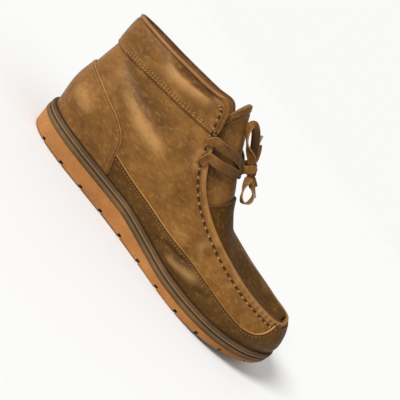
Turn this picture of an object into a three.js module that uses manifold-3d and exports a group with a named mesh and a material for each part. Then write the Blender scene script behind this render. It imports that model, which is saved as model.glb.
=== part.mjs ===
// A right chukka boot with a moccasin toe, standing empty on its wedge sole.
// Millimetres. +X runs to the toe, +Y to the inner side of the foot, +Z up.
// While it is worked out, the back of the heel is at x = 0, the heel's middle at y = 0 and the floor at z = 0.

import * as THREE from 'three';
import { mergeVertices } from 'three/addons/utils/BufferGeometryUtils.js';
import Module from 'manifold-3d';

const wasm = await Module();
wasm.setup();

// Driving dimensions
const SOLE_LENGTH = 302;
const BALL_WIDTH = 107;
const UPPER_HEIGHT = 102.5;      // from the sole's top to the collar at the back
const HEEL_GUM = 15.5;           // gum under the heel
const BALL_GUM = 8;              // gum under the ball
const TOE_GUM = 5;               // gum at the tip
const MIDSOLE_HEIGHT = 10;
const TOE_SPRING = 16;           // how far the tip stands off the floor
const SOLE_TAPER = 2.5;          // how much narrower the sole is on the floor
const RIB_DEPTH = 0.7;           // ribs along the side of the gum
const LUG_DEPTH = 3.4;
const LUG_GAP = 3.6;
const LUG_REACH = 19;            // how far a lug's gap runs in from the edge
const WELT_GROOVE = 1.3;         // groove between the two ridges of the midsole
const INSOLE_THICKNESS = 3;
const FEATHER_INSET = 3;         // foot of the upper, in from the sole's edge
const WALL = 2.2;                // leather and lining of the upper
const OVERLAY = 1.4;             // one more layer of leather
const CUFF_SWELL = 1.3;          // padding of the collar
const CUFF_RIM = 3.2;            // height of the rolled edge of the collar
const CUFF_EASE = 0.2;           // looseness of the cuff on the wall
const RIDGE = 2.6;               // raised edge of the moccasin seam
const RIDGE_SWELL = 1.1;
const TONGUE_WALL = 2.4;
const TONGUE_PAD = 2.6;          // padding at the top of the tongue
const EYELET_BORE = 4.6;
const LACE_WIDTH = 7;
const LACE_THICKNESS = 1.8;
const CORD_RADIUS = 1.9;
const AGLET_RADIUS = 1.5;
const GAP = 0.3;                 // between neighbours

// Steps of the meshes
const RING_STEPS = 60;
const WALL_STEPS = 60;
const ACROSS_STEPS = 10;

// Sections of the sole's outline, heel to tip. along is a share of the length,
// lateral and medial are the two half widths as shares of the ball width.
const OUTLINE = [
  { along: 0.000, lateral: 0.000, medial: 0.000 },
  { along: 0.010, lateral: 0.140, medial: 0.140 },
  { along: 0.040, lateral: 0.252, medial: 0.252 },
  { along: 0.089, lateral: 0.327, medial: 0.322 },
  { along: 0.156, lateral: 0.364, medial: 0.355 },
  { along: 0.232, lateral: 0.374, medial: 0.350 },
  { along: 0.305, lateral: 0.377, medial: 0.327 },
  { along: 0.364, lateral: 0.383, medial: 0.313 },
  { along: 0.404, lateral: 0.393, medial: 0.311 },
  { along: 0.440, lateral: 0.407, medial: 0.318 },
  { along: 0.477, lateral: 0.423, medial: 0.329 },
  { along: 0.517, lateral: 0.439, medial: 0.352 },
  { along: 0.563, lateral: 0.464, medial: 0.393 },
  { along: 0.623, lateral: 0.490, medial: 0.438 },
  { along: 0.695, lateral: 0.501, medial: 0.481 },
  { along: 0.768, lateral: 0.486, medial: 0.495 },
  { along: 0.838, lateral: 0.437, medial: 0.470 },
  { along: 0.901, lateral: 0.358, medial: 0.412 },
  { along: 0.950, lateral: 0.258, medial: 0.326 },
  { along: 0.985, lateral: 0.142, medial: 0.226 },
  { along: 1.000, lateral: -0.056, medial: 0.056 },
];

// The upper edge of the wall above the same sections: collar, throat edge, moccasin seam.
// high is the height over the sole as a share of the upper's height. low, mid and upper say how
// far the wall swells out a quarter, half and three quarters of the way up, as shares of the width.
const RAIL = [
  { along: -0.010, lateral: 0.000, medial: 0.000, high: 1.000, low: 0.034, mid: 0.014, upper: -0.009 },
  { along: 0.002, lateral: 0.103, medial: 0.103, high: 1.003, low: 0.034, mid: 0.014, upper: -0.008 },
  { along: 0.030, lateral: 0.187, medial: 0.187, high: 1.010, low: 0.034, mid: 0.019, upper: -0.003 },
  { along: 0.076, lateral: 0.243, medial: 0.243, high: 1.020, low: 0.033, mid: 0.023, upper: 0.003 },
  { along: 0.136, lateral: 0.276, medial: 0.276, high: 1.035, low: 0.039, mid: 0.036, upper: 0.013 },
  { along: 0.205, lateral: 0.290, medial: 0.290, high: 1.059, low: 0.047, mid: 0.047, upper: 0.023 },
  { along: 0.278, lateral: 0.294, medial: 0.294, high: 1.088, low: 0.056, mid: 0.051, upper: 0.026 },
  { along: 0.331, lateral: 0.293, medial: 0.293, high: 1.120, low: 0.056, mid: 0.056, upper: 0.032 },
  { along: 0.356, lateral: 0.294, medial: 0.294, high: 1.084, low: 0.054, mid: 0.056, upper: 0.036 },
  { along: 0.376, lateral: 0.307, medial: 0.307, high: 0.987, low: 0.051, mid: 0.051, upper: 0.033 },
  { along: 0.402, lateral: 0.318, medial: 0.318, high: 0.860, low: 0.047, mid: 0.050, upper: 0.031 },
  { along: 0.435, lateral: 0.327, medial: 0.327, high: 0.734, low: 0.045, mid: 0.047, upper: 0.028 },
  { along: 0.483, lateral: 0.341, medial: 0.341, high: 0.617, low: 0.042, mid: 0.045, upper: 0.030 },
  { along: 0.556, lateral: 0.360, medial: 0.350, high: 0.517, low: 0.042, mid: 0.047, upper: 0.033 },
  { along: 0.639, lateral: 0.379, medial: 0.362, high: 0.447, low: 0.039, mid: 0.043, upper: 0.031 },
  { along: 0.715, lateral: 0.383, medial: 0.371, high: 0.397, low: 0.036, mid: 0.039, upper: 0.029 },
  { along: 0.785, lateral: 0.355, medial: 0.374, high: 0.353, low: 0.036, mid: 0.039, upper: 0.028 },
  { along: 0.850, lateral: 0.302, medial: 0.347, high: 0.316, low: 0.035, mid: 0.038, upper: 0.028 },
  { along: 0.902, lateral: 0.228, medial: 0.292, high: 0.287, low: 0.034, mid: 0.037, upper: 0.028 },
  { along: 0.935, lateral: 0.126, medial: 0.208, high: 0.277, low: 0.034, mid: 0.038, upper: 0.028 },
  { along: 0.948, lateral: -0.042, medial: 0.042, high: 0.283, low: 0.036, mid: 0.042, upper: 0.031 },
];
const TIP = RAIL.length - 1;
const AROUND = 2 * TIP;

// The crest of the apron and tongue above the sections from the tongue's top to the tip
const CREST = [
  { section: 8, along: 0.386, high: 1.267 },
  { section: 9, along: 0.407, high: 1.187 },
  { section: 10, along: 0.444, high: 1.066 },
  { section: 11, along: 0.490, high: 0.929 },
  { section: 12, along: 0.540, high: 0.781 },
  { section: 13, along: 0.593, high: 0.609 },
  { section: 14, along: 0.652, high: 0.498 },
  { section: 15, along: 0.719, high: 0.462 },
  { section: 16, along: 0.785, high: 0.432 },
  { section: 17, along: 0.848, high: 0.399 },
  { section: 18, along: 0.897, high: 0.366 },
  { section: 19, along: 0.930, high: 0.339 },
  { section: 20, along: 0.945, high: 0.300 },
];
const TONGUE_TOP = CREST[0].section;
const APRON_END = 12.4;          // section where the apron stops and the tongue shows
const TONGUE_FOOT = 13;          // the tongue starts under the apron

// Side view of the seams: along is a share of the length, high a share of the upper's height
const COUNTER_SEAM = [
  { along: -0.050, high: 0.478 },
  { along: 0.063, high: 0.456 },
  { along: 0.125, high: 0.417 },
  { along: 0.173, high: 0.387 },
  { along: 0.2205, high: 0.325 },
  { along: 0.238, high: 0.271 },
  { along: 0.252, high: 0.172 },
  { along: 0.2705, high: 0.058 },
  { along: 0.286, high: -0.060 },
];
const MUDGUARD_SEAM = [
  { along: 0.230, high: 0.195 },
  { along: 0.338, high: 0.157 },
  { along: 0.416, high: 0.157 },
  { along: 0.503, high: 0.183 },
  { along: 0.585, high: 0.216 },
  { along: 0.672, high: 0.206 },
  { along: 0.774, high: 0.166 },
  { along: 0.845, high: 0.144 },
  { along: 0.889, high: 0.171 },
  { along: 0.906, high: 0.246 },
  { along: 0.905, high: 0.420 },
];
const TOE_SEAM = 0.056;          // the seam down the toe, off the heel's middle, a share of the width

// Lower seam of the collar: section of the rail and height, as in the tables above
const CUFF_SEAM = [
  { section: 0, high: 0.711 },
  { section: 1, high: 0.711 },
  { section: 2, high: 0.716 },
  { section: 3, high: 0.737 },
  { section: 4, high: 0.764 },
  { section: 5, high: 0.795 },
  { section: 6, high: 0.826 },
  { section: 7, high: 0.855 },
  { section: 8, high: 0.878 },
  { section: 9, high: 0.893 },
  { section: 10, high: 0.905 },
];

// The collar runs round the heel and ends on both throat edges, a whole number of steps from the heel
const RING_STEP = AROUND / WALL_STEPS;
const CUFF_STEPS = 14;
const CUFF_END = CUFF_STEPS * RING_STEP;
const CUFF_BACKOFF = 0.1;        // its ends stay this part of a section clear of the rising wall

// Two eyelets a side, on the wall: section and share of the way up
const EYELETS = [
  { section: 9.0, up: 0.845 },
  { section: 9.85, up: 0.80 },
];

// Side of the gum from the floor up, and of the midsole from the gum up:
// at is the share of its height, inset is in from the sole's edge
const GUM_SIDE = [
  { at: 0.00, inset: SOLE_TAPER + 0.6 },
  { at: 0.06, inset: SOLE_TAPER },
  { at: 0.32, inset: 0.70 * SOLE_TAPER },
  { at: 0.40, inset: 0.60 * SOLE_TAPER + RIB_DEPTH },
  { at: 0.48, inset: 0.50 * SOLE_TAPER },
  { at: 0.66, inset: 0.36 * SOLE_TAPER },
  { at: 0.74, inset: 0.26 * SOLE_TAPER + RIB_DEPTH },
  { at: 0.82, inset: 0.16 * SOLE_TAPER },
  { at: 1.00, inset: 0.10 * SOLE_TAPER },
];
const MIDSOLE_SIDE = [
  { at: 0.00, inset: 0.8 },
  { at: 0.10, inset: 0.1 },
  { at: 0.36, inset: 0.0 },
  { at: 0.46, inset: WELT_GROOVE },
  { at: 0.56, inset: WELT_GROOVE },
  { at: 0.66, inset: 0.0 },
  { at: 0.88, inset: 0.2 },
  { at: 1.00, inset: 1.2 },
];
const LUG_START = 0.083;         // first lug gap and the pitch of the rest, shares of the length
const LUG_PITCH = 0.0858;
const LUG_COUNT = 11;

// Heights of the sole's layers at a place along it
function smooth(value, from, to) {
  return THREE.MathUtils.smoothstep(value, Math.min(from, to), Math.max(from, to));
}

function floorHeight(x) {
  const rise = Math.max(0, (x / SOLE_LENGTH - 0.645) / 0.355);
  return TOE_SPRING * rise * rise;
}

function gumTop(x) {
  const share = x / SOLE_LENGTH;
  const waist = (HEEL_GUM - BALL_GUM) * smooth(share, 0.35, 0.615);
  const front = (BALL_GUM - TOE_GUM) * smooth(share, 0.68, 1);
  return floorHeight(x) + HEEL_GUM - waist - front;
}

function soleTop(x) {
  return gumTop(x) + GAP + MIDSOLE_HEIGHT;
}

// The outline as a closed curve. Its parameter counts sections: 0 at the heel, TIP at the toe on the
// outer side, and back to AROUND on the inner side.
function sectionAt(index) {
  return index <= TIP ? { row: index, side: -1 } : { row: AROUND - index, side: 1 };
}

function closedCurve(pointOf) {
  const points = [];
  for (let index = 0; index < AROUND; index++) {
    points.push(pointOf(sectionAt(index)));
  }
  return new THREE.CatmullRomCurve3(points, true, 'centripetal');
}

function halfWidth(row, side) {
  return BALL_WIDTH * (side < 0 ? -row.lateral : row.medial);
}

function onCurve(curve, section) {
  const turns = section / AROUND;
  return curve.getPoint(turns - Math.floor(turns));
}

const outlineCurve = closedCurve(({ row, side }) => new THREE.Vector3(
  SOLE_LENGTH * OUTLINE[row].along, halfWidth(OUTLINE[row], side), 0));

function outward(section) {
  const step = 0.05;
  const along = onCurve(outlineCurve, section + step).sub(onCurve(outlineCurve, section - step));
  return new THREE.Vector3(along.y, -along.x, 0).normalize();
}

function outlineAt(section, inset) {
  return onCurve(outlineCurve, section).addScaledVector(outward(section), -inset);
}

// Five rails of the wall, from its foot to its upper edge
const SWELLS = ['low', 'mid', 'upper'];
const footCurve = closedCurve(({ row, side }) => {
  const section = side < 0 ? row : AROUND - row;
  const point = outlineAt(section, FEATHER_INSET);
  return point.setZ(soleTop(point.x) + GAP);
});
const edgeCurve = closedCurve(({ row, side }) => new THREE.Vector3(
  SOLE_LENGTH * RAIL[row].along,
  halfWidth(RAIL[row], side),
  soleTop(SOLE_LENGTH * OUTLINE[row].along) + UPPER_HEIGHT * RAIL[row].high));
const swellCurves = SWELLS.map((name, level) => closedCurve(({ row, side }) => {
  const section = side < 0 ? row : AROUND - row;
  const point = onCurve(footCurve, section).lerp(onCurve(edgeCurve, section), (level + 1) / 4);
  return point.addScaledVector(outward(section), BALL_WIDTH * RAIL[row][name]);
}));
const wallCurves = [footCurve, ...swellCurves, edgeCurve];

function wallForm(section, up) {
  const rib = wallCurves.map((curve) => onCurve(curve, section));
  return new THREE.CatmullRomCurve3(rib, false, 'catmullrom', 0.5).getPoint(THREE.MathUtils.clamp(up, 0, 1));
}

function wallNormal(section, up) {
  const step = 0.02;
  const around = wallForm(section + step, up).sub(wallForm(section - step, up));
  const upward = wallForm(section, Math.min(1, up + step)).sub(wallForm(section, Math.max(0, up - step)));
  return around.cross(upward).normalize();
}

// A point of the wall, some depth under the outer form
function wallAt(section, up, depth) {
  return wallForm(section, up).addScaledVector(wallNormal(section, up), -depth);
}

// Height over the sole as a share of the way up a section
function shareUp(section, high) {
  const foot = onCurve(footCurve, section);
  const edge = onCurve(edgeCurve, section);
  const base = soleTop(foot.x);
  return (base + UPPER_HEIGHT * high - foot.z) / (edge.z - foot.z);
}

// Table lookup by section, on a straight line between two rows
function lookUp(table, section, column) {
  const wanted = Math.min(section, AROUND - section);
  const after = table.findIndex((row) => row.section >= wanted);
  if (after <= 0) return table[after === 0 ? 0 : table.length - 1][column];
  const low = table[after - 1];
  const high = table[after];
  return THREE.MathUtils.mapLinear(wanted, low.section, high.section, low[column], high[column]);
}

// The crowned form of apron and tongue, from edge to edge over the crest.
// angle is 0 on the crest and 90 degrees at the two edges.
const crestCurve = new THREE.CatmullRomCurve3(CREST.map((row) => new THREE.Vector3(
  SOLE_LENGTH * row.along, 0, soleTop(SOLE_LENGTH * row.along) + UPPER_HEIGHT * row.high)));
const EDGE_DEPTH = OVERLAY + GAP + WALL / 2;

function crownForm(section, angle) {
  const outer = onCurve(edgeCurve, section);
  const inner = onCurve(edgeCurve, AROUND - section);
  const middle = outer.clone().lerp(inner, 0.5);
  const half = inner.clone().sub(outer).multiplyScalar(0.5);
  half.setLength(Math.max(0.5, half.length() - EDGE_DEPTH));
  middle.z -= RIDGE;
  const crest = crestCurve.getPoint(THREE.MathUtils.clamp((section - TONGUE_TOP) / (TIP - TONGUE_TOP), 0, 1));
  const rise = crest.setY(middle.y).sub(middle);
  const turn = THREE.MathUtils.degToRad(angle);
  return middle.addScaledVector(half, Math.sin(turn)).addScaledVector(rise, Math.cos(turn));
}

function crownNormal(section, angle) {
  const step = 0.02;
  const turn = 1;
  const place = THREE.MathUtils.clamp(section, TONGUE_TOP + step, TIP - step);
  const along = crownForm(place + step, angle).sub(crownForm(place - step, angle));
  const across = crownForm(section, angle + turn).sub(crownForm(section, angle - turn));
  return along.cross(across).normalize();
}

function crownAt(section, angle, depth) {
  return crownForm(section, angle).addScaledVector(crownNormal(section, angle), -depth);
}

// A closed body through rings with the same number of points. The rings close on each other,
// or the two end rings are closed by strips from their first half to their second half.
function loft(rings, closed) {
  const count = rings[0].length;
  const positions = rings.flat().flatMap((point) => [point.x, point.y, point.z]);
  const triangles = [];
  const quad = (a, b, c, d) => triangles.push(a, b, c, a, c, d);
  const last = closed ? rings.length : rings.length - 1;
  for (let ring = 0; ring < last; ring++) {
    const here = ring * count;
    const next = ((ring + 1) % rings.length) * count;
    for (let side = 0; side < count; side++) {
      const after = (side + 1) % count;
      quad(here + side, here + after, next + after, next + side);
    }
  }
  if (!closed) {
    const end = (rings.length - 1) * count;
    for (let side = 0; side < count / 2 - 1; side++) {
      const across = count - 1 - side;
      quad(side + 1, side, across, across - 1);
      quad(end + side, end + side + 1, end + across - 1, end + across);
    }
  }
  const geometry = new THREE.BufferGeometry();
  geometry.setAttribute('position', new THREE.Float32BufferAttribute(positions, 3));
  geometry.setIndex(triangles);
  return facingOut(mergeVertices(geometry, 1e-4));
}

function signedVolume(geometry) {
  const position = geometry.getAttribute('position');
  const index = geometry.getIndex();
  const corners = [new THREE.Vector3(), new THREE.Vector3(), new THREE.Vector3()];
  let sum = 0;
  for (let place = 0; place < index.count; place += 3) {
    corners.forEach((corner, k) => corner.fromBufferAttribute(position, index.getX(place + k)));
    sum += corners[0].dot(corners[1].clone().cross(corners[2]));
  }
  return sum / 6;
}

function facingOut(geometry) {
  if (signedVolume(geometry) < 0) {
    geometry.setIndex(Array.from(geometry.getIndex().array).reverse());
  }
  return geometry;
}

function merged(geometry) {
  const plain = geometry.clone();
  plain.deleteAttribute('normal');
  plain.deleteAttribute('uv');
  return mergeVertices(plain, 1e-4);
}

function solid(geometry) {
  const shape = merged(geometry);
  return new wasm.Manifold(new wasm.Mesh({
    numProp: 3,
    vertProperties: new Float32Array(shape.getAttribute('position').array),
    triVerts: new Uint32Array(shape.getIndex().array),
  }));
}

function geometryOf(body) {
  const mesh = body.getMesh();
  const geometry = new THREE.BufferGeometry();
  geometry.setAttribute('position', new THREE.BufferAttribute(new Float32Array(mesh.vertProperties), 3));
  geometry.setIndex(new THREE.BufferAttribute(new Uint32Array(mesh.triVerts), 1));
  return geometry;
}

function range(count, from, to) {
  return Array.from({ length: count + 1 }, (_, k) => THREE.MathUtils.lerp(from, to, k / count));
}

// Points round the outline, from just outside the heel's middle to just inside it
function outlineRing(inset, heightOf) {
  const ring = [];
  for (let k = 0; k < RING_STEPS; k++) {
    const point = outlineAt((k + 0.5) * AROUND / RING_STEPS, inset);
    ring.push(point.setZ(heightOf(point.x)));
  }
  return ring;
}

// A layer of the sole from its side profile, between two heights
function soleLayer(profile, bottom, top) {
  return loft(profile.map(({ at, inset }) => outlineRing(
    inset, (x) => THREE.MathUtils.lerp(bottom(x), top(x), at))), false);
}

// Outsole: gum wedge with ribs along its side and lugs along both edges
function outsole() {
  let body = solid(soleLayer(GUM_SIDE, floorHeight, gumTop));
  for (let k = 0; k < LUG_COUNT; k++) {
    for (const side of [-1, 1]) {
      const section = lugSection(SOLE_LENGTH * (LUG_START + k * LUG_PITCH), side);
      const edge = outlineAt(section, 0);
      const cutter = new THREE.BoxGeometry(LUG_GAP, 2 * LUG_REACH, 2 * LUG_DEPTH);
      const turned = outward(section);
      cutter.rotateZ(Math.atan2(turned.y, turned.x) + Math.PI / 2);
      cutter.translate(edge.x, edge.y, floorHeight(edge.x));
      body = body.subtract(solid(cutter));
    }
  }
  return geometryOf(body);
}

// The section of the outline at a place along one side
function lugSection(x, side) {
  let best = 0;
  for (let section = 0.2; section < TIP; section += 0.05) {
    const here = Math.abs(onCurve(outlineCurve, section).x - x);
    if (here < Math.abs(onCurve(outlineCurve, best).x - x)) best = section;
  }
  return side < 0 ? best : AROUND - best;
}

// Midsole: a dark strip with two ridges
function midsole() {
  return soleLayer(MIDSOLE_SIDE, (x) => gumTop(x) + GAP, soleTop);
}

// Insole: lies inside the foot of the upper
function insole() {
  const inset = FEATHER_INSET + OVERLAY + GAP + WALL + 2 * GAP;
  const rings = [0, 1].map((at) => outlineRing(
    inset, (x) => soleTop(x) + GAP + at * INSOLE_THICKNESS));
  return loft(rings, false);
}

// Outer face of the upper under the overlays, swelling to a rolled ridge at its edge
const RIDGE_START = 0.925;
const RIDGE_FULL = 0.965;

function bareDepth(section, up) {
  const row = Math.min(section, AROUND - section);
  const swell = RIDGE_SWELL * smooth(row, CUFF_END, CUFF_END + RING_STEP);
  return OVERLAY + GAP - swell * smooth(up, RIDGE_START, RIDGE_FULL);
}

// The wall stops under the rolled edge of the collar
function wallTop(section) {
  const row = Math.min(section, AROUND - section);
  const edge = onCurve(edgeCurve, section).z - onCurve(footCurve, section).z;
  return 1 - (CUFF_RIM + 3 * GAP) / edge * (1 - smooth(row, CUFF_END, CUFF_END + RING_STEP));
}

const WALL_LEVELS = [0, 0.12, 0.25, 0.4, 0.55, 0.7, 0.82, RIDGE_START, RIDGE_FULL, 1];

function wallSection(section) {
  const top = wallTop(section);
  const outer = WALL_LEVELS.map((up) => wallAt(section, up * top, bareDepth(section, up)));
  const inner = WALL_LEVELS.map((up) => wallAt(section, up * top, OVERLAY + GAP + WALL));
  return [...outer, ...inner.reverse()];
}

function apronSection(section) {
  const angles = range(ACROSS_STEPS, -90, 90);
  const outer = angles.map((angle) => crownAt(section, angle, 0));
  const inner = angles.map((angle) => crownAt(section, angle, WALL));
  return [...outer, ...inner.reverse()];
}

function eyeletCutter({ section, up }, side) {
  const turn = side < 0 ? section : AROUND - section;
  const centre = wallAt(turn, up, OVERLAY + GAP);
  const cutter = new THREE.CylinderGeometry(EYELET_BORE / 2, EYELET_BORE / 2, 6 * WALL, 12);
  cutter.applyQuaternion(new THREE.Quaternion().setFromUnitVectors(
    new THREE.Vector3(0, 1, 0), wallNormal(turn, up)));
  return solid(cutter.translate(centre.x, centre.y, centre.z));
}

// Upper: the wall round the foot and the apron on it, in one, with its eyelets
function upper() {
  const stations = range(WALL_STEPS, 0, AROUND).slice(0, WALL_STEPS);
  const wall = solid(loft(stations.map(wallSection), true));
  const apron = solid(loft(range(14, TIP - 0.15, APRON_END).map(apronSection), false));
  let body = wall.add(apron);
  for (const eyelet of EYELETS) {
    body = body.subtract(eyeletCutter(eyelet, -1));
    body = body.subtract(eyeletCutter(eyelet, 1));
  }
  return geometryOf(body);
}

// A prism across the shoe from a closed outline in side view
function prism(outline) {
  const depth = 2 * BALL_WIDTH;
  const geometry = new THREE.ExtrudeGeometry(new THREE.Shape(outline), { depth, bevelEnabled: false });
  geometry.rotateX(Math.PI / 2);
  return solid(geometry.translate(0, depth / 2, 0));
}

function seamLine(table, steps, shift) {
  const points = table.map(({ along, high }) => new THREE.Vector2(
    SOLE_LENGTH * along + shift, soleTop(SOLE_LENGTH * along) + UPPER_HEIGHT * high));
  return new THREE.SplineCurve(points).getPoints(steps);
}

function counterPrism(shift) {
  const line = seamLine(COUNTER_SEAM, 24, shift);
  return prism([...line, new THREE.Vector2(-BALL_WIDTH, line.at(-1).y)]);
}

// The layer over the wall that the overlays are cut from, up to the ridge
function overlayRing() {
  const levels = [0, 0.12, 0.25, 0.4, 0.55, 0.7, 0.82, RIDGE_START - 0.02];
  const stations = range(WALL_STEPS, 0, AROUND).slice(0, WALL_STEPS);
  return solid(loft(stations.map((section) => {
    const outer = levels.map((up) => wallAt(section, up, 0));
    const inner = levels.map((up) => wallAt(section, up, OVERLAY));
    return [...outer, ...inner.reverse()];
  }), true));
}

// Heel counter: wraps the heel, its front edge sweeping down to the sole
function heelCounter() {
  return geometryOf(overlayRing().intersect(counterPrism(0)));
}

// Mudguard: a band along each side, rising to the moccasin seam round the toe
function mudguard(side) {
  const line = seamLine(MUDGUARD_SEAM, 40, 0);
  const front = SOLE_LENGTH + BALL_WIDTH;
  const band = prism([
    ...line,
    new THREE.Vector2(front, line.at(-1).y),
    new THREE.Vector2(front, -HEEL_GUM),
    new THREE.Vector2(line[0].x, -HEEL_GUM),
  ]);
  const half = new THREE.BoxGeometry(4 * SOLE_LENGTH, 2 * BALL_WIDTH, 4 * UPPER_HEIGHT);
  half.translate(0, BALL_WIDTH * TOE_SEAM + side * (BALL_WIDTH + GAP / 2), 0);
  return geometryOf(overlayRing().intersect(band).subtract(counterPrism(GAP)).intersect(solid(half)));
}

// Collar: a padded cuff from its lower seam to a rolled edge over the top of the wall
function cuffSection(section) {
  const turn = section < 0 ? section + AROUND : section;
  const edge = onCurve(edgeCurve, turn).z - onCurve(footCurve, turn).z;
  const rim = 1 - CUFF_RIM / edge;
  const seam = Math.min(shareUp(turn, lookUp(CUFF_SEAM, turn, 'high')), rim - 0.004);
  const inside = OVERLAY + GAP + WALL;
  const swell = (share) => -CUFF_SWELL * Math.sin(Math.PI * share) * Math.min(1, (1 - seam) / 0.2);
  const outer = [0, 0.12, 0.35, 0.6, 0.82, 0.94].map((share) => wallAt(
    turn, THREE.MathUtils.lerp(seam, 1, share), swell(share)));
  const crown = wallAt(turn, 1, 0.35 * inside);
  const lip = wallAt(turn, 1, 0.75 * inside);
  const backs = [seam, THREE.MathUtils.lerp(seam, rim, 0.3), THREE.MathUtils.lerp(seam, rim, 0.6), rim];
  const inner = backs.map((up) => wallAt(turn, up, OVERLAY - CUFF_EASE));
  const shelf = wallAt(turn, rim, inside);
  const corner = wallAt(turn, THREE.MathUtils.lerp(rim, 1, 0.6), inside);
  return [...outer, crown, lip, corner, shelf, ...inner.reverse()];
}

function collar() {
  const reach = CUFF_END - CUFF_BACKOFF;
  const stations = range(2 * CUFF_STEPS, -CUFF_END, CUFF_END);
  return loft(stations.map((at) => cuffSection(THREE.MathUtils.clamp(at, -reach, reach))), false);
}

// Tongue: a curved sheet under the apron and the throat's edges, padded at its top
function tongueSection(section) {
  const outside = WALL + 2 * GAP;
  const pad = TONGUE_PAD * (1 - smooth(section, TONGUE_TOP + 0.4, TONGUE_TOP + 1.5));
  const angles = range(ACROSS_STEPS, -96, 96);
  const outer = angles.map((angle) => crownAt(section, angle, outside));
  const inner = angles.map((angle) => crownAt(section, angle, outside + TONGUE_WALL + pad));
  return [...outer, ...inner.reverse()];
}

function tongue() {
  return loft(range(14, TONGUE_FOOT, TONGUE_TOP).map(tongueSection), false);
}

// Lace bars: two flat bands over the tongue, from eyelet to eyelet, joined where they cross.
// up is a place on the wall, angle a place on the crown; lift is off that form.
const LOWER_BAR = [
  { section: 9.95, up: 0.83, lift: -0.2 },
  { section: 10.3, up: 0.95, lift: 1.2 },
  { section: 10.75, angle: -74, lift: 4.6 },
  { section: 11.1, angle: -52, lift: 2.4 },
  { section: 11.35, angle: -26, lift: 0.0 },
  { section: 11.45, angle: 0, lift: -0.9 },
];
const UPPER_BAR = [
  { section: 9.1, up: 0.87, lift: -0.2 },
  { section: 9.5, up: 0.96, lift: 2.2 },
  { section: 9.95, angle: -76, lift: 5.2 },
  { section: 10.4, angle: -54, lift: 3.2 },
  { section: 10.85, angle: -28, lift: 1.0 },
  { section: 11.3, angle: 0, lift: 0.2 },
];

function barPoint({ section, up, angle, lift }, side) {
  if (angle === undefined) {
    const turn = side < 0 ? section : AROUND - section;
    return { point: wallAt(turn, up, -lift), normal: wallNormal(turn, up) };
  }
  const leaning = side < 0 ? angle : -angle;
  return { point: crownAt(section, leaning, -lift), normal: crownNormal(section, leaning) };
}

function laceBar(route) {
  const outer = route.map((stop) => barPoint(stop, -1));
  const inner = route.slice(0, -1).reverse().map((stop) => barPoint(stop, 1));
  const stops = [...outer, ...inner];
  const path = new THREE.CatmullRomCurve3(stops.map(({ point }) => point));
  const normals = new THREE.CatmullRomCurve3(stops.map(({ normal }) => normal));
  return solid(loft(range(16, 0, 1).map((share) => {
    const centre = path.getPoint(share);
    const along = path.getTangent(share);
    const across = normals.getPoint(share).cross(along).normalize();
    const thick = along.clone().cross(across).normalize();
    const half = LACE_WIDTH / 2;
    const corners = [[-half, -0.5], [-half, 0.5], [-0.5 * half, 1], [0.5 * half, 1], [half, 0.5],
      [half, -0.5], [0.5 * half, -1], [-0.5 * half, -1]];
    return corners.map(([w, t]) => centre.clone()
      .addScaledVector(across, w)
      .addScaledVector(thick, t * LACE_THICKNESS / 2));
  }), false));
}

function laceBars() {
  return geometryOf(laceBar(LOWER_BAR).add(laceBar(UPPER_BAR)));
}

// Knot, loops and ends of the bow. Points are chosen by hand, in mm in the working frame.
const KNOT = { x: 156.4, y: 0, z: 117.7, along: 6, across: 7.5, thick: 5.2, lean: 46 };
const UPPER_LOOP = [
  [153.2, -5.1, 122.4], [148.5, -8.5, 125.6], [143, -11, 127.8], [136, -12.5, 131.2],
  [129.8, -12.2, 136.6], [126.6, -8.8, 142.2], [129.5, -4.5, 145.3], [135.5, -2, 142.8],
  [142, -1, 136.8], [148, -0.6, 129.3], [152.7, -0.4, 123],
];
const LOWER_LOOP = [
  [160.6, -5.2, 114], [162.6, -9.8, 109], [164.8, -13.8, 102.6], [168.5, -15.6, 97.4],
  [173.6, -14.6, 95.3], [177.5, -11, 97.8], [177, -6.5, 103.3], [172.4, -3.2, 108],
  [166.6, -1.2, 111.2], [161.7, -0.6, 113.3],
];
const UPPER_END = [[152.9, 4.7, 122.7], [149.8, 5.2, 128.2], [146.4, 5, 132.8], [143.1, 4.6, 136.1]];
const UPPER_TAG = [[142.6, 4.5, 136.9], [139.6, 3.9, 143.5]];
const LOWER_END = [[161, 4.4, 114], [164.6, 4.7, 112.4], [168, 5.1, 110.9], [171, 5.5, 109.4]];
const LOWER_TAG = [[171.5, 5.6, 109.1], [178.9, 7, 104.4]];

function vectors(route) {
  return route.map(([x, y, z]) => new THREE.Vector3(x, y, z));
}

function cord(route, radius, steps) {
  const path = new THREE.CatmullRomCurve3(vectors(route));
  const disc = new THREE.Shape(range(8, 0, 2 * Math.PI).slice(0, 8).map((turn) => new THREE.Vector2(
    radius * Math.cos(turn), radius * Math.sin(turn))));
  return merged(new THREE.ExtrudeGeometry(disc, { steps, extrudePath: path, bevelEnabled: false }));
}

function knot() {
  const lump = new THREE.SphereGeometry(1, 12, 8);
  lump.scale(KNOT.along, KNOT.across, KNOT.thick);
  lump.rotateY(THREE.MathUtils.degToRad(KNOT.lean));
  return merged(lump.translate(KNOT.x, KNOT.y, KNOT.z));
}

// Finishes
const gum = new THREE.MeshStandardMaterial({ color: 0xbe7d41, roughness: 0.6, metalness: 0 });
const welt = new THREE.MeshStandardMaterial({ color: 0x64503c, roughness: 0.7, metalness: 0 });
const leather = new THREE.MeshStandardMaterial({ color: 0x8c6235, roughness: 0.5, metalness: 0 });
const lining = new THREE.MeshStandardMaterial({ color: 0x9a6a46, roughness: 0.8, metalness: 0 });
const cotton = new THREE.MeshStandardMaterial({ color: 0x6b4a2c, roughness: 0.9, metalness: 0 });
const film = new THREE.MeshStandardMaterial({ color: 0x8a8378, roughness: 0.3, metalness: 0 });

const group = new THREE.Group();

function addPiece(name, geometry, finish) {
  const piece = new THREE.Mesh(geometry, finish.clone());
  piece.name = name;
  group.add(piece);
  return piece;
}

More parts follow.
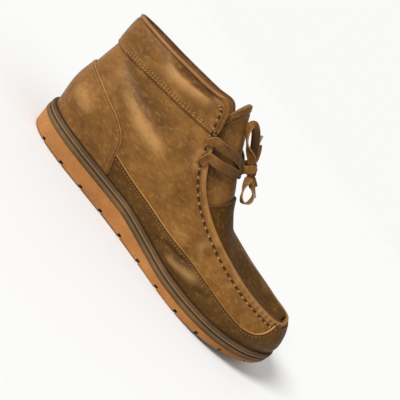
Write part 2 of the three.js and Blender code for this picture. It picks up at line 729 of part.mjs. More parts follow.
const pieces = [
  addPiece('outsole', outsole(), gum),
  addPiece('midsole', midsole(), welt),
  addPiece('insole', insole(), lining),
  addPiece('upper', upper(), leather),
  addPiece('heel_counter', heelCounter(), leather),
  addPiece('mudguard_lateral', mudguard(-1), leather),
  addPiece('mudguard_medial', mudguard(1), leather),
  addPiece('collar', collar(), leather),
  addPiece('tongue', tongue(), leather),
  addPiece('lace_bars', laceBars(), cotton),
];
addPiece('lace_knot', knot(), cotton);
addPiece('lace_loop_upper', cord(UPPER_LOOP, CORD_RADIUS, 16), cotton);
addPiece('lace_loop_lower', cord(LOWER_LOOP, CORD_RADIUS, 14), cotton);
addPiece('lace_end_upper', cord(UPPER_END, CORD_RADIUS, 4), cotton);
addPiece('lace_end_lower', cord(LOWER_END, CORD_RADIUS, 4), cotton);
addPiece('lace_tag_upper', cord(UPPER_TAG, AGLET_RADIUS, 2), film);
addPiece('lace_tag_lower', cord(LOWER_TAG, AGLET_RADIUS, 2), film);

// The origin goes to the middle of the shoe's underside
const extent = new THREE.Box3();
for (const piece of pieces) {
  piece.geometry.computeBoundingBox();
  extent.union(piece.geometry.boundingBox);
}
const middle = extent.getCenter(new THREE.Vector3());
for (const piece of group.children) {
  piece.geometry.translate(-middle.x, -middle.y, -extent.min.z);
}

export default group;
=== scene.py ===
import math

import bmesh
import bpy
import numpy as np
from mathutils import Matrix, Vector


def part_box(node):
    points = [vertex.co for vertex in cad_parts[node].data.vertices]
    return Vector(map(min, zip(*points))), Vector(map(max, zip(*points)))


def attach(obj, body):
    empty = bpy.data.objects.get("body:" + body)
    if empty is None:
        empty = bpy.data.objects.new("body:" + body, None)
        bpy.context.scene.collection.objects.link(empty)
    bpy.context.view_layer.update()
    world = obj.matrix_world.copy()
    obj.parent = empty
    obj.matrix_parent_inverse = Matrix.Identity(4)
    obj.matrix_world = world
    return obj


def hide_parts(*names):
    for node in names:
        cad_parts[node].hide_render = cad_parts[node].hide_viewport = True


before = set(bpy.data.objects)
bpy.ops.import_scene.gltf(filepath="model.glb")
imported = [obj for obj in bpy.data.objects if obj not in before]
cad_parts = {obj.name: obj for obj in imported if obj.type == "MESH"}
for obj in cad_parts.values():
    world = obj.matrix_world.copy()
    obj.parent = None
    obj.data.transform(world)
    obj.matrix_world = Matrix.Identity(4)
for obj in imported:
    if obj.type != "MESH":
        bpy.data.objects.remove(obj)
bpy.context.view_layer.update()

# Outsole
# A wedge of natural gum rubber, moulded in one with fine ribs along its side and gaps between the
# lugs of both edges. It is 302 mm long, and its toe springs off the floor.
SOLE_LENGTH = 302.0
BALL_WIDTH = 107.0
HEEL_GUM = 15.5
BALL_GUM = 8.0
TOE_GUM = 5.0
TOE_SPRING = 16.0
LUG_DEPTH = 3.4
LUG_GAP = 3.6
LUG_REACH = 19.0
LUG_START = 0.083
LUG_PITCH = 0.0858
LUG_COUNT = 11
# In metres, as the tread is drawn by its coat
TREAD_PITCH = 0.009

# Sections from heel to tip: share of the length, outer and inner half width as shares of the ball
OUTLINE = np.array([
    (0.000, 0.000, 0.000), (0.010, 0.140, 0.140), (0.040, 0.252, 0.252), (0.089, 0.327, 0.322),
    (0.156, 0.364, 0.355), (0.232, 0.374, 0.350), (0.305, 0.377, 0.327), (0.364, 0.383, 0.313),
    (0.404, 0.393, 0.311), (0.440, 0.407, 0.318), (0.477, 0.423, 0.329), (0.517, 0.439, 0.352),
    (0.563, 0.464, 0.393), (0.623, 0.490, 0.438), (0.695, 0.501, 0.481), (0.768, 0.486, 0.495),
    (0.838, 0.437, 0.470), (0.901, 0.358, 0.412), (0.950, 0.258, 0.326), (0.985, 0.142, 0.226),
    (1.000, -0.056, 0.056),
])
TIP = len(OUTLINE) - 1
AROUND = 2 * TIP

# The knot of the lace tells where the working frame lies: heel at x = 0, floor at z = 0, in mm
KNOT_PLACE = np.array([156.4, 0.0, 117.7])
knot_low, knot_high = (np.array(corner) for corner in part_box("lace_knot"))
SHIFT = KNOT_PLACE - (knot_low + knot_high) * 500


def in_row(points):
    return (np.asarray(points, float) - SHIFT) / 1000


def ease(value, start, end):
    share = np.clip((np.asarray(value, float) - start) / (end - start), 0, 1)
    return share * share * (3 - 2 * share)


def floor_height(x):
    return TOE_SPRING * np.maximum(0, (x / SOLE_LENGTH - 0.645) / 0.355) ** 2


def gum_top(x):
    share = x / SOLE_LENGTH
    waist = (HEEL_GUM - BALL_GUM) * ease(share, 0.35, 0.615)
    front = (BALL_GUM - TOE_GUM) * ease(share, 0.68, 1)
    return floor_height(x) + HEEL_GUM - waist - front


def cubic(p1, p2, t1, t2, w):
    """The cubic from p1 to p2 that leaves along t1 and arrives along t2."""
    bend = -3 * p1 + 3 * p2 - 2 * t1 - t2
    return p1 + t1 * w + bend * w ** 2 + (2 * p1 - 2 * p2 + t1 + t2) * w ** 3


def curve_through(points, closed=False):
    """The smooth line that the part's source draws through the same points."""
    points = np.asarray(points, float)
    count = len(points)
    before = points[-1] if closed else 2 * points[0] - points[1]
    after = points[:2] if closed else [2 * points[-1] - points[-2]]
    knots = np.vstack([[before], points, after])

    def at(place):
        place = np.asarray(place, float)
        place = np.mod(place, count) if closed else np.clip(place, 0, count - 1)
        start = np.floor(place).astype(int)
        start = np.minimum(start, count - (1 if closed else 2))
        w = (place - start)[..., None]
        p0, p1, p2, p3 = (knots[start + k] for k in range(4))
        d0, d1, d2 = (np.sqrt(np.linalg.norm(b - a, axis=-1, keepdims=True))
                      for a, b in ((p0, p1), (p1, p2), (p2, p3)))
        d1 = np.where(d1 < 1e-4, 1.0, d1)
        d0 = np.where(d0 < 1e-4, d1, d0)
        d2 = np.where(d2 < 1e-4, d1, d2)
        t1 = ((p1 - p0) / d0 - (p2 - p0) / (d0 + d1) + (p2 - p1) / d1) * d1
        t2 = ((p2 - p1) / d1 - (p3 - p1) / (d1 + d2) + (p3 - p2) / d2) * d1
        return cubic(p1, p2, t1, t2, w)

    return at


def ring_rows(table):
    """The rows of a table, heel to tip on the outer side and back on the inner side."""
    places = [(index, -1) for index in range(TIP + 1)]
    places += [(AROUND - index, 1) for index in range(TIP + 1, AROUND)]
    return [(table[row], row, side) for row, side in places]


outline = curve_through([
    (SOLE_LENGTH * row[0], BALL_WIDTH * (-row[1] if side < 0 else row[2]), 0)
    for row, _, side in ring_rows(OUTLINE)], closed=True)


def unit(vectors):
    return vectors / np.linalg.norm(vectors, axis=-1, keepdims=True)


def outward(section):
    along = outline(section + 0.05) - outline(section - 0.05)
    return unit(np.stack([along[..., 1], -along[..., 0], 0 * along[..., 0]], axis=-1))


def outline_at(section, inset):
    return outline(section) - outward(section) * np.asarray(inset, float)[..., None]


def to_spine(section, share, points):
    """Points of a ring drawn in towards the middle line of the sole, where both sides meet."""
    across = (outline(section) + outline(AROUND - section)) / 2
    across[:, 0] = np.clip(across[:, 0], 26, SOLE_LENGTH - 30)
    drawn = points.copy()
    drawn[:, :2] += (across[:, :2] - points[:, :2]) * np.asarray(share)[:, None]
    return drawn


def rows_at(rows, v):
    """Kind and value of the row that each v of a piece's grid falls on."""
    hit = [rows[k] for k in np.rint(v * (len(rows) - 1)).astype(int)]
    return np.array([row[0] for row in hit]), np.array([row[1] for row in hit])


def laid(columns, rows, place, closed=True):
    """A grid laid by place(u, v), both from 0 to 1. place gives points in mm and marks per point."""
    form = bmesh.new()
    bmesh.ops.create_grid(form, x_segments=columns, y_segments=rows, size=0.5)
    spots = np.array([spot.co for spot in form.verts])
    points, marks = place(spots[:, 0] + 0.5, spots[:, 1] + 0.5)
    layers = [(form.verts.layers.float.new(name), values) for name, values in marks.items()]
    points = in_row(points)
    for index, spot in enumerate(form.verts):
        spot.co = points[index]
        for layer, values in layers:
            spot[layer] = values[index]
    bmesh.ops.remove_doubles(form, verts=form.verts, dist=2e-6)
    if closed:
        bmesh.ops.recalc_face_normals(form, faces=form.faces)
    return form


def finished(name, form, coat, node):
    """The piece of a form, on the shoe's one body."""
    mesh = bpy.data.meshes.new(name)
    form.to_mesh(mesh)
    form.free()
    mesh.shade_smooth()
    mesh.materials.append(coat)
    piece = bpy.data.objects.new(name, mesh)
    bpy.context.scene.collection.objects.link(piece)
    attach(piece, "root")
    if node:
        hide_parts(node)
    return piece


def dye(red, green, blue, shade=1.0):
    """A colour as the eye reads it, 0 to 255, darkened by its shade, in the shader's own scale."""
    shares = [c * shade / 255 for c in (red, green, blue)]
    return tuple(((c + 0.055) / 1.055) ** 2.4 if c > 0.04 else c / 12.92 for c in shares) + (1.0,)


def add(tree, kind, inputs=None, **settings):
    """A shader node with its settings, and each input set or linked."""
    fresh = tree.nodes.new(kind)
    for name, value in settings.items():
        setattr(fresh, name, value)
    for name, value in (inputs or {}).items():
        socket = fresh.inputs[name]
        if isinstance(value, bpy.types.NodeSocket):
            tree.links.new(value, socket)
        else:
            socket.default_value = value
    return fresh


def maths(tree, operation, *values):
    return add(tree, "ShaderNodeMath", dict(enumerate(values)), operation=operation).outputs[0]


def ranged(tree, value, start, end, low=0.0, high=1.0):
    return add(tree, "ShaderNodeMapRange", {
        "Value": value, "From Min": start, "From Max": end, "To Min": low, "To Max": high}).outputs[0]


def noise(tree, scale, detail, roughness=0.5, **more):
    """Noise over the coordinates of the whole shoe, in metres, or over a vector of its own."""
    if "Vector" not in more:
        more["Vector"] = add(tree, "ShaderNodeTexCoord").outputs["Object"]
    return add(tree, "ShaderNodeTexNoise", {
        "Scale": scale, "Detail": detail, "Roughness": roughness, **more}).outputs["Fac"]


def glazed(tree, tint, *glazes):
    """A tint under one colour after the other, each with its mask and its strength."""
    for mask, strength, colour in glazes:
        share = maths(tree, "MULTIPLY", mask, strength)
        tint = add(tree, "ShaderNodeMix", {0: share, 6: tint, 7: colour}, data_type="RGBA").outputs[2]
    return tint


def new_group(name, inputs, outputs):
    group = bpy.data.node_groups.new(name, "ShaderNodeTree")
    for title, kind, value in inputs:
        socket = group.interface.new_socket(name=title, in_out="INPUT", socket_type=kind)
        socket.default_value = value
    for title, kind in outputs:
        group.interface.new_socket(name=title, in_out="OUTPUT", socket_type=kind)
    return group, group.nodes.new("NodeGroupInput").outputs, group.nodes.new("NodeGroupOutput").inputs


# Cloudy change of colour, from dark over middle to light. Size is the number of clouds in a metre.
MOTTLE, given, out = new_group("mottle", [
    ("Dark", "NodeSocketColor", (0, 0, 0, 1)), ("Middle", "NodeSocketColor", (0.2, 0.2, 0.2, 1)),
    ("Light", "NodeSocketColor", (0.5, 0.5, 0.5, 1)), ("Size", "NodeSocketFloat", 30.0),
], [("Color", "NodeSocketColor"), ("Cloud", "NodeSocketFloat")])
cloud = noise(MOTTLE, given["Size"], 6.0, 0.62, Distortion=0.4)
speck = noise(MOTTLE, maths(MOTTLE, "MULTIPLY", given["Size"], 5.3), 4.0, 0.6)
tint = glazed(
    MOTTLE, given["Dark"], (ranged(MOTTLE, cloud, 0.30, 0.50), 1.0, given["Middle"]),
    (ranged(MOTTLE, cloud, 0.50, 0.72), 0.85, given["Light"]),
    (ranged(MOTTLE, speck, 0.35, 0.75), 0.22, given["Light"]))
MOTTLE.links.new(tint, out["Color"])
MOTTLE.links.new(cloud, out["Cloud"])

# One where a value is within a half width of its middle, with a soft edge. All in mm.
LINE, given, out = new_group("line", [
    ("Value", "NodeSocketFloat", 0.0), ("Middle", "NodeSocketFloat", 0.0),
    ("Half", "NodeSocketFloat", 0.5), ("Soft", "NodeSocketFloat", 0.3),
], [("Mask", "NodeSocketFloat")])
away = maths(LINE, "ABSOLUTE", maths(LINE, "SUBTRACT", given["Value"], given["Middle"]))
past = maths(LINE, "DIVIDE", maths(LINE, "SUBTRACT", away, given["Half"]), given["Soft"])
kept = maths(LINE, "SUBTRACT", 1.0, past)
kept = add(LINE, "ShaderNodeMapRange", {"Value": kept}, interpolation_type="SMOOTHSTEP").outputs[0]
LINE.links.new(kept, out["Mask"])

# Rubbed and pressed specks of leather and gum, drawn out a little along the shoe
SCUFF, given, out = new_group("scuff", [("Size", "NodeSocketFloat", 200.0)], [
    ("Pale", "NodeSocketFloat"), ("Deep", "NodeSocketFloat")])
stretched = add(SCUFF, "ShaderNodeMapping", {
    "Vector": add(SCUFF, "ShaderNodeTexCoord").outputs["Object"], "Rotation": (0.0, 0.5, 0.3),
    "Scale": (0.55, 1.0, 1.0)}).outputs["Vector"]
rubbed = noise(SCUFF, given["Size"], 8.0, 0.75, Vector=stretched)
for title, start, end in (("Pale", 0.52, 0.72), ("Deep", 0.46, 0.30)):
    SCUFF.links.new(ranged(SCUFF, rubbed, start, end), out[title])


def group_node(tree, group, inputs):
    return add(tree, "ShaderNodeGroup", inputs, node_tree=group).outputs


def clouded(tree, dark, middle, light, size, shade=1.0):
    dyes = {"Dark": dye(*dark, shade), "Middle": dye(*middle, shade), "Light": dye(*light, shade)}
    return group_node(tree, MOTTLE, {**dyes, "Size": size})


def line_mask(tree, value, middle, half, soft):
    return group_node(tree, LINE, {"Value": value, "Middle": middle, "Half": half, "Soft": soft})["Mask"]


def mark(tree, name):
    """A number that a piece carries on its points, and 0 on a piece without it."""
    return add(tree, "ShaderNodeAttribute", attribute_type="GEOMETRY", attribute_name=name).outputs["Fac"]


def new_coat(name, **settings):
    coat = bpy.data.materials.new(name)
    coat.use_nodes = True
    shader = coat.node_tree.nodes["Principled BSDF"]
    for title, value in settings.items():
        shader.inputs[title.replace("_", " ")].default_value = value
    return coat, coat.node_tree, shader


def dressed(tree, shader, tint, height, distance, strength):
    """Gives a coat its colour and its relief."""
    tree.links.new(tint, shader.inputs["Base Color"])
    bump = add(tree, "ShaderNodeBump", {"Height": height, "Distance": distance, "Strength": strength})
    tree.links.new(bump.outputs["Normal"], shader.inputs["Normal"])


def gritty(tree, shader, scale, smooth, coarse):
    """Fine grit, which also makes the shine uneven."""
    grit = noise(tree, scale, 3.0)
    tree.links.new(ranged(tree, grit, 0.0, 1.0, smooth, coarse), shader.inputs["Roughness"])
    return grit


gum_coat, tree, shader = new_coat("natural_gum", Specular_IOR_Level=0.35)
clouds = clouded(tree, (146, 93, 40), (162, 108, 49), (178, 123, 64), 26.0)
rubbed = group_node(tree, SCUFF, {"Size": 150.0})
# Darker along the lowest edge of the side and over the underside
darker_below = line_mask(tree, mark(tree, "rise"), 0.0, 0.05, 0.12)
# Painted shade in the grooves between the ribs, from the rib mark
tint = glazed(
    tree, clouds["Color"], (rubbed["Pale"], 0.4, dye(196, 146, 88)),
    (rubbed["Deep"], 0.35, dye(124, 76, 32)), (darker_below, 0.7, dye(84, 52, 30)),
    (mark(tree, "rib"), 0.35, dye(140, 80, 40)))
grit = gritty(tree, shader, 900.0, 0.5, 0.75)
# Slanting bars of the tread, which meet in the middle line of the sole
place_at = add(tree, "ShaderNodeSeparateXYZ", {"Vector": add(tree, "ShaderNodeTexCoord").outputs["Object"]})
aside = maths(tree, "MULTIPLY", maths(tree, "ABSOLUTE", place_at.outputs["Y"]), 0.7)
slant = maths(tree, "ADD", place_at.outputs["X"], aside)
bars = maths(tree, "SINE", maths(tree, "MULTIPLY", slant, 2 * math.pi / TREAD_PITCH))
bars = maths(tree, "MULTIPLY", ranged(tree, bars, -0.3, 0.3), mark(tree, "tread"))
relief = maths(tree, "ADD", grit, maths(tree, "MULTIPLY", bars, 6.0))
dressed(tree, shader, tint, relief, 0.00025, 0.8)

# A lug's gap is cut square into the edge, so two stations of the ring stand close at each side of it
fine_sections = np.linspace(0, AROUND, 8001)
fine_outline = outline(fine_sections)
mm_per_section = np.linalg.norm(np.gradient(fine_outline, fine_sections, axis=0), axis=1)
gap_sections = []
for lug in range(LUG_COUNT):
    wanted = SOLE_LENGTH * (LUG_START + lug * LUG_PITCH)
    for half in (fine_sections <= TIP, fine_sections >= TIP):
        nearest = np.argmin(np.where(half, np.abs(fine_outline[:, 0] - wanted), 1e6))
        gap_sections.append((fine_sections[nearest], LUG_GAP / 2 / mm_per_section[nearest]))
stations = [k * AROUND / 400 for k in range(400)]
for middle, reach in gap_sections:
    stations = [s for s in stations if abs(s - middle) > reach + 0.03]
    stations += [middle + reach * side for side in (-1.02, -0.98, 0, 0.98, 1.02)]
stations = np.array(sorted(stations))
stations = np.append(stations, stations[0] + AROUND)
in_gap = np.zeros(len(stations))
for middle, reach in gap_sections:
    in_gap[np.abs(np.mod(stations - middle + TIP, AROUND) - TIP) < reach] = 1

# Side of the gum: share of its height and inset
GUM_SIDE = np.array([(0.00, 3.1), (0.05, 2.5), (0.10, 2.3), (1.00, 0.25)])
RIBS = 9
side_rows = np.linspace(0, 1, 46)
under = [("under", share) for share in (1.0, 0.66, 0.33, 0.0)]
under += [("in", inset) for inset in (LUG_REACH + 0.1, LUG_REACH - 0.1, 12.0, 6.0)]
over = [("over", share) for share in (0.15, 0.5, 1.0)]
gum_rows = under + [("side", at) for at in side_rows] + over


def gum_place(u, v):
    station = np.rint(u * (len(stations) - 1)).astype(int)
    section, cut = stations[station], in_gap[station]
    kind, value = rows_at(gum_rows, v)
    at = np.where(kind == "side", value, np.where(kind == "over", 1.0, 0.0))
    rib = np.where(kind == "side", 0.5 - 0.5 * np.cos(2 * np.pi * RIBS * np.clip((at - 0.1) / 0.9, 0, 1)), 0)
    inset = np.interp(at, GUM_SIDE[:, 0], GUM_SIDE[:, 1]) + 0.32 * rib
    inset = np.where(kind == "in", value, np.where(kind == "under", LUG_REACH + 0.2, inset))
    points = outline_at(section, inset)
    drawn = to_spine(section, np.where((kind == "under") | (kind == "over"), value, 0), points)
    low, high = floor_height(drawn[:, 0]), gum_top(drawn[:, 0])
    drawn[:, 2] = low + (high - low) * at
    open_row = (kind == "side") | ((kind == "in") & (value < LUG_REACH))
    drawn[:, 2] = np.where(open_row & (cut > 0), np.maximum(drawn[:, 2], low + LUG_DEPTH), drawn[:, 2])
    drawn[:, 2] -= 0.05 * (kind == "over")
    return drawn, {"rise": at, "rib": rib, "tread": (kind == "under") & (value < 0.98)}


gum_form = laid(len(stations) - 1, len(gum_rows) - 1, gum_place)
finished("gum_outsole", gum_form, gum_coat, "outsole")

# Midsole
# A strip of grey-brown rubber foam between gum and leather. Its edge is moulded with two ridges and a
# groove between them, and a groove where it meets the upper; painted shade darkens both grooves, and painted
# highlights run along the two ridges.
GAP = 0.3
MIDSOLE_HEIGHT = 10.0
WELT_GROOVE = 1.3


def sole_top(x):
    return gum_top(x) + GAP + MIDSOLE_HEIGHT


MIDSOLE_SIDE = np.array([
    (0.00, 0.9), (0.05, 0.3), (0.12, 0.05), (0.34, 0.0), (0.40, 0.35), (0.44, 1.1), (0.50, WELT_GROOVE),
    (0.56, 1.1), (0.60, 0.35), (0.66, 0.0), (0.74, 0.0), (0.78, 0.5), (0.81, 0.5), (0.85, 0.1), (0.92, 0.3),
    (1.00, 1.2),
])
midsole_rows = [("under", 1.0), ("under", 0.4)]
midsole_rows += [("side", at) for at in np.linspace(0, 1, 48)]
midsole_rows += [("over", 0.2), ("over", 0.6), ("over", 1.0)]


def midsole_place(u, v):
    section = u * AROUND
    kind, value = rows_at(midsole_rows, v)
    side = kind == "side"
    at = np.where(side, value, kind == "over")
    inset = np.interp(at, MIDSOLE_SIDE[:, 0], MIDSOLE_SIDE[:, 1])
    drawn = to_spine(section, np.where(side, 0, value), outline_at(section, inset))
    low, high = gum_top(drawn[:, 0]) + GAP, sole_top(drawn[:, 0])
    drawn[:, 2] = low + (high - low) * at
    return drawn, {"rise": at, "inset": inset}


welt_coat, tree, shader = new_coat("grey_brown_welt", Specular_IOR_Level=0.3)
clouds = clouded(tree, (68, 47, 22), (88, 62, 30), (112, 82, 42), 40.0)
upper_crest_highlight = line_mask(tree, mark(tree, "rise"), 0.66, 0.03, 0.06)
lower_crest_highlight = line_mask(tree, mark(tree, "rise"), 0.33, 0.02, 0.05)
# Painted shade in the grooves and at the rounded top and foot of the edge, and painted highlights along the
# two ridges
tint = glazed(
    tree, clouds["Color"], (ranged(tree, mark(tree, "inset"), 0.25, 0.9), 0.75, dye(44, 33, 24)),
    (upper_crest_highlight, 0.75, dye(136, 106, 68)), (lower_crest_highlight, 0.45, dye(122, 96, 60)))
dressed(tree, shader, tint, gritty(tree, shader, 700.0, 0.55, 0.8), 0.0003, 0.6)
midsole_form = laid(400, len(midsole_rows) - 1, midsole_place)
finished("ridged_midsole", midsole_form, welt_coat, "midsole")

# Insole
# A padded footbed with a suede top, laid in the foot of the upper and dished a little to its middle line.
FEATHER_INSET = 3.0
OVERLAY = 1.4
WALL = 2.2
INSOLE_THICKNESS = 3.0
INSOLE_INSET = FEATHER_INSET + OVERLAY + GAP + WALL + 2 * GAP
insole_rows = [(1.0, 0), (0.5, 0), (0.0, 0), (0.0, 0.5), (0.01, 0.85), (0.03, 1), (0.15, 1), (0.3, 0.97),
               (0.5, 0.93), (0.75, 0.9), (1.0, 0.88)]


def insole_place(u, v):
    section = u * AROUND
    share, high = rows_at(insole_rows, v)
    drawn = to_spine(section, share, outline_at(section, np.full(len(section), INSOLE_INSET)))
    drawn[:, 2] = sole_top(drawn[:, 0]) + GAP + high * INSOLE_THICKNESS
    return drawn, {}


def nap_coat(name, dark, middle, light, size):
    coat, tree, shader = new_coat(
        name, Roughness=0.85, Specular_IOR_Level=0.2, Sheen_Weight=0.25, Sheen_Roughness=0.5)
    clouds = clouded(tree, dark, middle, light, 45.0)
    height = noise(tree, size, 5.0, 0.7)
    tint = glazed(tree, clouds["Color"], (maths(tree, "SUBTRACT", 0.75, height), 0.9, dye(*dark)))
    dressed(tree, shader, tint, height, 0.0004, 0.7)
    return coat


footbed_coat = nap_coat("footbed_suede", (96, 58, 34), (128, 82, 50), (150, 102, 66), 800.0)
insole_form = laid(240, len(insole_rows) - 1, insole_place)
finished("suede_insole", insole_form, footbed_coat, "insole")

# Upper: vamp and quarters
# One wall of oiled leather on a lining, lasted round the foot. Its upper edge is rolled to a raised lip
# along the throat and the moccasin seam, with a row of slots for the thread 6 mm under the lip.
UPPER_HEIGHT = 102.5
CUFF_RIM = 3.2
RIDGE = 2.6
RIDGE_SWELL = 1.1
RING_STEP = AROUND / 60
CUFF_END = 14 * RING_STEP
RIDGE_START, RIDGE_FULL = 0.925, 0.965

# Upper edge over the sections of the sole: share of the length, half widths, height, and the swell of
# the wall a quarter, half and three quarters of the way up
RAIL = np.array([
    (-0.010, 0.000, 0.000, 1.000, 0.034, 0.014, -0.009), (0.002, 0.103, 0.103, 1.003, 0.034, 0.014, -0.008),
    (0.030, 0.187, 0.187, 1.010, 0.034, 0.019, -0.003), (0.076, 0.243, 0.243, 1.020, 0.033, 0.023, 0.003),
    (0.136, 0.276, 0.276, 1.035, 0.039, 0.036, 0.013), (0.205, 0.290, 0.290, 1.059, 0.047, 0.047, 0.023),
    (0.278, 0.294, 0.294, 1.088, 0.056, 0.051, 0.026), (0.331, 0.293, 0.293, 1.120, 0.056, 0.056, 0.032),
    (0.356, 0.294, 0.294, 1.084, 0.054, 0.056, 0.036), (0.376, 0.307, 0.307, 0.987, 0.051, 0.051, 0.033),
    (0.402, 0.318, 0.318, 0.860, 0.047, 0.050, 0.031), (0.435, 0.327, 0.327, 0.734, 0.045, 0.047, 0.028),
    (0.483, 0.341, 0.341, 0.617, 0.042, 0.045, 0.030), (0.556, 0.360, 0.350, 0.517, 0.042, 0.047, 0.033),
    (0.639, 0.379, 0.362, 0.447, 0.039, 0.043, 0.031), (0.715, 0.383, 0.371, 0.397, 0.036, 0.039, 0.029),
    (0.785, 0.355, 0.374, 0.353, 0.036, 0.039, 0.028), (0.850, 0.302, 0.347, 0.316, 0.035, 0.038, 0.028),
    (0.902, 0.228, 0.292, 0.287, 0.034, 0.037, 0.028), (0.935, 0.126, 0.208, 0.277, 0.034, 0.038, 0.028),
    (0.948, -0.042, 0.042, 0.283, 0.036, 0.042, 0.031),
])

ring_sections = np.arange(AROUND, dtype=float)
foot_points = outline_at(ring_sections, np.full(AROUND, FEATHER_INSET))
foot_points[:, 2] = sole_top(foot_points[:, 0]) + GAP
foot = curve_through(foot_points, closed=True)
edge = curve_through([
    (SOLE_LENGTH * rail[0], BALL_WIDTH * (-rail[1] if side < 0 else rail[2]),
     sole_top(SOLE_LENGTH * OUTLINE[row][0]) + UPPER_HEIGHT * rail[3])
    for rail, row, side in ring_rows(RAIL)], closed=True)
rails = [foot]
for level in range(3):
    swell = np.array([rail[4 + level] for rail, _, _ in ring_rows(RAIL)])[:, None]
    between = foot(ring_sections) + (edge(ring_sections) - foot(ring_sections)) * (level + 1) / 4
    rails.append(curve_through(between + outward(ring_sections) * BALL_WIDTH * swell, closed=True))
rails.append(edge)


def wall_form(section, up):
    """A point of the wall's outer form: section round the shoe, up from its foot 0 to its edge 1."""
    section, up = np.broadcast_arrays(np.asarray(section, float), np.clip(up, 0, 1))
    rib = np.stack([rail(section) for rail in rails])
    rib = np.concatenate([[2 * rib[0] - rib[1]], rib, [2 * rib[-1] - rib[-2]]])
    start = np.minimum((up * 4).astype(int), 3)
    w = (up * 4 - start)[:, None]
    each = np.arange(len(section))
    p0, p1, p2, p3 = (rib[start + k, each] for k in range(4))
    return cubic(p1, p2, (p2 - p0) / 2, (p3 - p1) / 2, w)


def wall_normal(section, up):
    around = wall_form(section + 0.02, up) - wall_form(section - 0.02, up)
    upward = wall_form(section, np.minimum(1, up + 0.02)) - wall_form(section, np.maximum(0, up - 0.02))
    return unit(np.cross(around, upward))


# Folds and troughs of the worn leather, laid in side view: side of the shoe (-1 outer, 1 inner),
# width, height, and places along the shoe and over the floor
FOLDS = [
    (-1, 6.0, -1.3, [(14, 98), (32, 96), (50, 91), (70, 85)]),
    (-1, 6.5, 1.5, [(34, 88), (52, 83), (70, 78), (90, 76), (112, 75)]),
    (-1, 6.5, -1.0, [(52, 95), (74, 91), (98, 89)]),
    (-1, 6.0, -1.0, [(98, 106), (106, 98), (114, 88), (120, 78)]),
    (-1, 6.0, 0.8, [(112, 104), (120, 95), (128, 84)]),
    (-1, 5.0, -0.8, [(120, 72), (134, 66), (150, 62)]),
    (-1, 4.5, -0.8, [(196, 66), (189, 57), (183, 47)]),
    (-1, 4.5, 0.7, [(188, 67), (181, 58), (175, 47)]),
    (-1, 3.5, -0.7, [(210, 63), (205, 55), (201, 46)]),
    (-1, 4.0, 0.5, [(224, 60), (219, 52), (215, 44)]),
    (-1, 4.5, 1.6, [(158, 24), (172, 26), (186, 30), (202, 35)]),
    (-1, 2.2, -2.0, [(152, 31), (162, 32.5), (174, 34), (186, 37.5)]),
    (-1, 2.4, -1.6, [(148, 31), (152, 26), (158, 19)]),
    (-1, 3.0, -1.3, [(200, 25), (208, 30), (218, 33)]),
    (-1, 7.0, -0.7, [(222, 30), (242, 31), (258, 34)]),
    (-1, 5.5, 1.5, [(42, 121), (58, 122), (74, 125), (90, 129.5), (99, 132)]),
    (-1, 2.6, -2.1, [(44, 127.6), (60, 128.6), (76, 131.4), (90, 134.8), (101, 137.4)]),
    (-1, 5.0, -0.7, [(20, 112), (34, 113), (46, 117)]),
    (-1, 10.0, -0.8, [(6, 104), (18, 116), (30, 130)]),
    (-1, 8.0, 0.7, [(8, 58), (24, 52), (40, 44)]),
    (-1, 6.0, -0.6, [(14, 38), (32, 36), (50, 34)]),
    (1, 5.5, -1.2, [(24, 95), (40, 92), (56, 87), (72, 84)]),
    (1, 6.5, 1.1, [(34, 88), (54, 83), (76, 78), (98, 76)]),
    (1, 6.0, -0.9, [(100, 104), (108, 94), (118, 82)]),
    (1, 4.5, -0.8, [(200, 62), (194, 52), (190, 42)]),
    (1, 4.5, 0.7, [(190, 63), (184, 53), (180, 42)]),
    (1, 3.5, -0.7, [(214, 59), (209, 50), (206, 42)]),
    (1, 5.5, 1.3, [(164, 26), (178, 29), (194, 33), (208, 36)]),
    (1, 3.2, -1.1, [(160, 37), (174, 38), (188, 41)]),
    (1, 5.5, 1.3, [(44, 121), (60, 122), (76, 126), (92, 131)]),
    (1, 2.8, -1.5, [(50, 128.0), (64, 129.2), (80, 132.4), (94, 136.0)]),
    (1, 8.0, 0.7, [(10, 56), (26, 50), (42, 42)]),
]


def lengths_along(points):
    """Distance of each point of a line from its first one, along the line."""
    return np.concatenate([[0], np.cumsum(np.linalg.norm(np.diff(points, axis=0), axis=1))])


def line_distance(points, line):
    """Distance of flat points from a line of straight runs, and the share of it that lies before them."""
    line = np.asarray(line, float)
    runs = np.linalg.norm(np.diff(line, axis=0), axis=1)
    before = lengths_along(line)
    best, share = np.full(len(points), 1e9), np.zeros(len(points))
    for index, run in enumerate(runs):
        start, way = line[index], (line[index + 1] - line[index]) / run
        along = np.clip((points - start) @ way, 0, run)
        away = np.linalg.norm(points - start - along[:, None] * way, axis=1)
        share = np.where(away < best, (before[index] + along) / before[-1], share)
        best = np.minimum(best, away)
    return best, share


def rounded_line(points, steps=12):
    line = curve_through(points)
    return line(np.linspace(0, len(points) - 1, steps * (len(points) - 1) + 1))


def bulge(value, middle, reach):
    """1 where a value is at its middle, and softly down to 0 to both sides of it."""
    return np.exp(-((value - middle) / reach) ** 2)


def fold_lift(flat, width, height, line):
    """How far one fold lifts the leather: fully along its line, and less to its sides and ends."""
    away, share = line_distance(flat, line)
    return height * ease(share, 0, 0.3) * ease(1 - share, 0, 0.3) * bulge(away, 0, width)


fold_lines = [(side, width, height, rounded_line(line, 5)) for side, width, height, line in FOLDS]


def fold_height(section, form):
    """How far the leather stands out at a place of the wall, with a low unevenness all over."""
    outer = 1 - ease(np.mod(section, AROUND), TIP - 0.4, TIP + 0.4)
    outer = np.where(np.mod(section, AROUND) > AROUND - 0.4, 1.0, outer)
    total = 0.22 * np.sin(form[:, 0] / 11 + form[:, 2] / 17) * np.sin(form[:, 2] / 9 - form[:, 0] / 23)
    for side, width, height, line in fold_lines:
        total = total + fold_lift(form[:, [0, 2]], width, height, line) * (outer if side < 0 else 1 - outer)
    return total


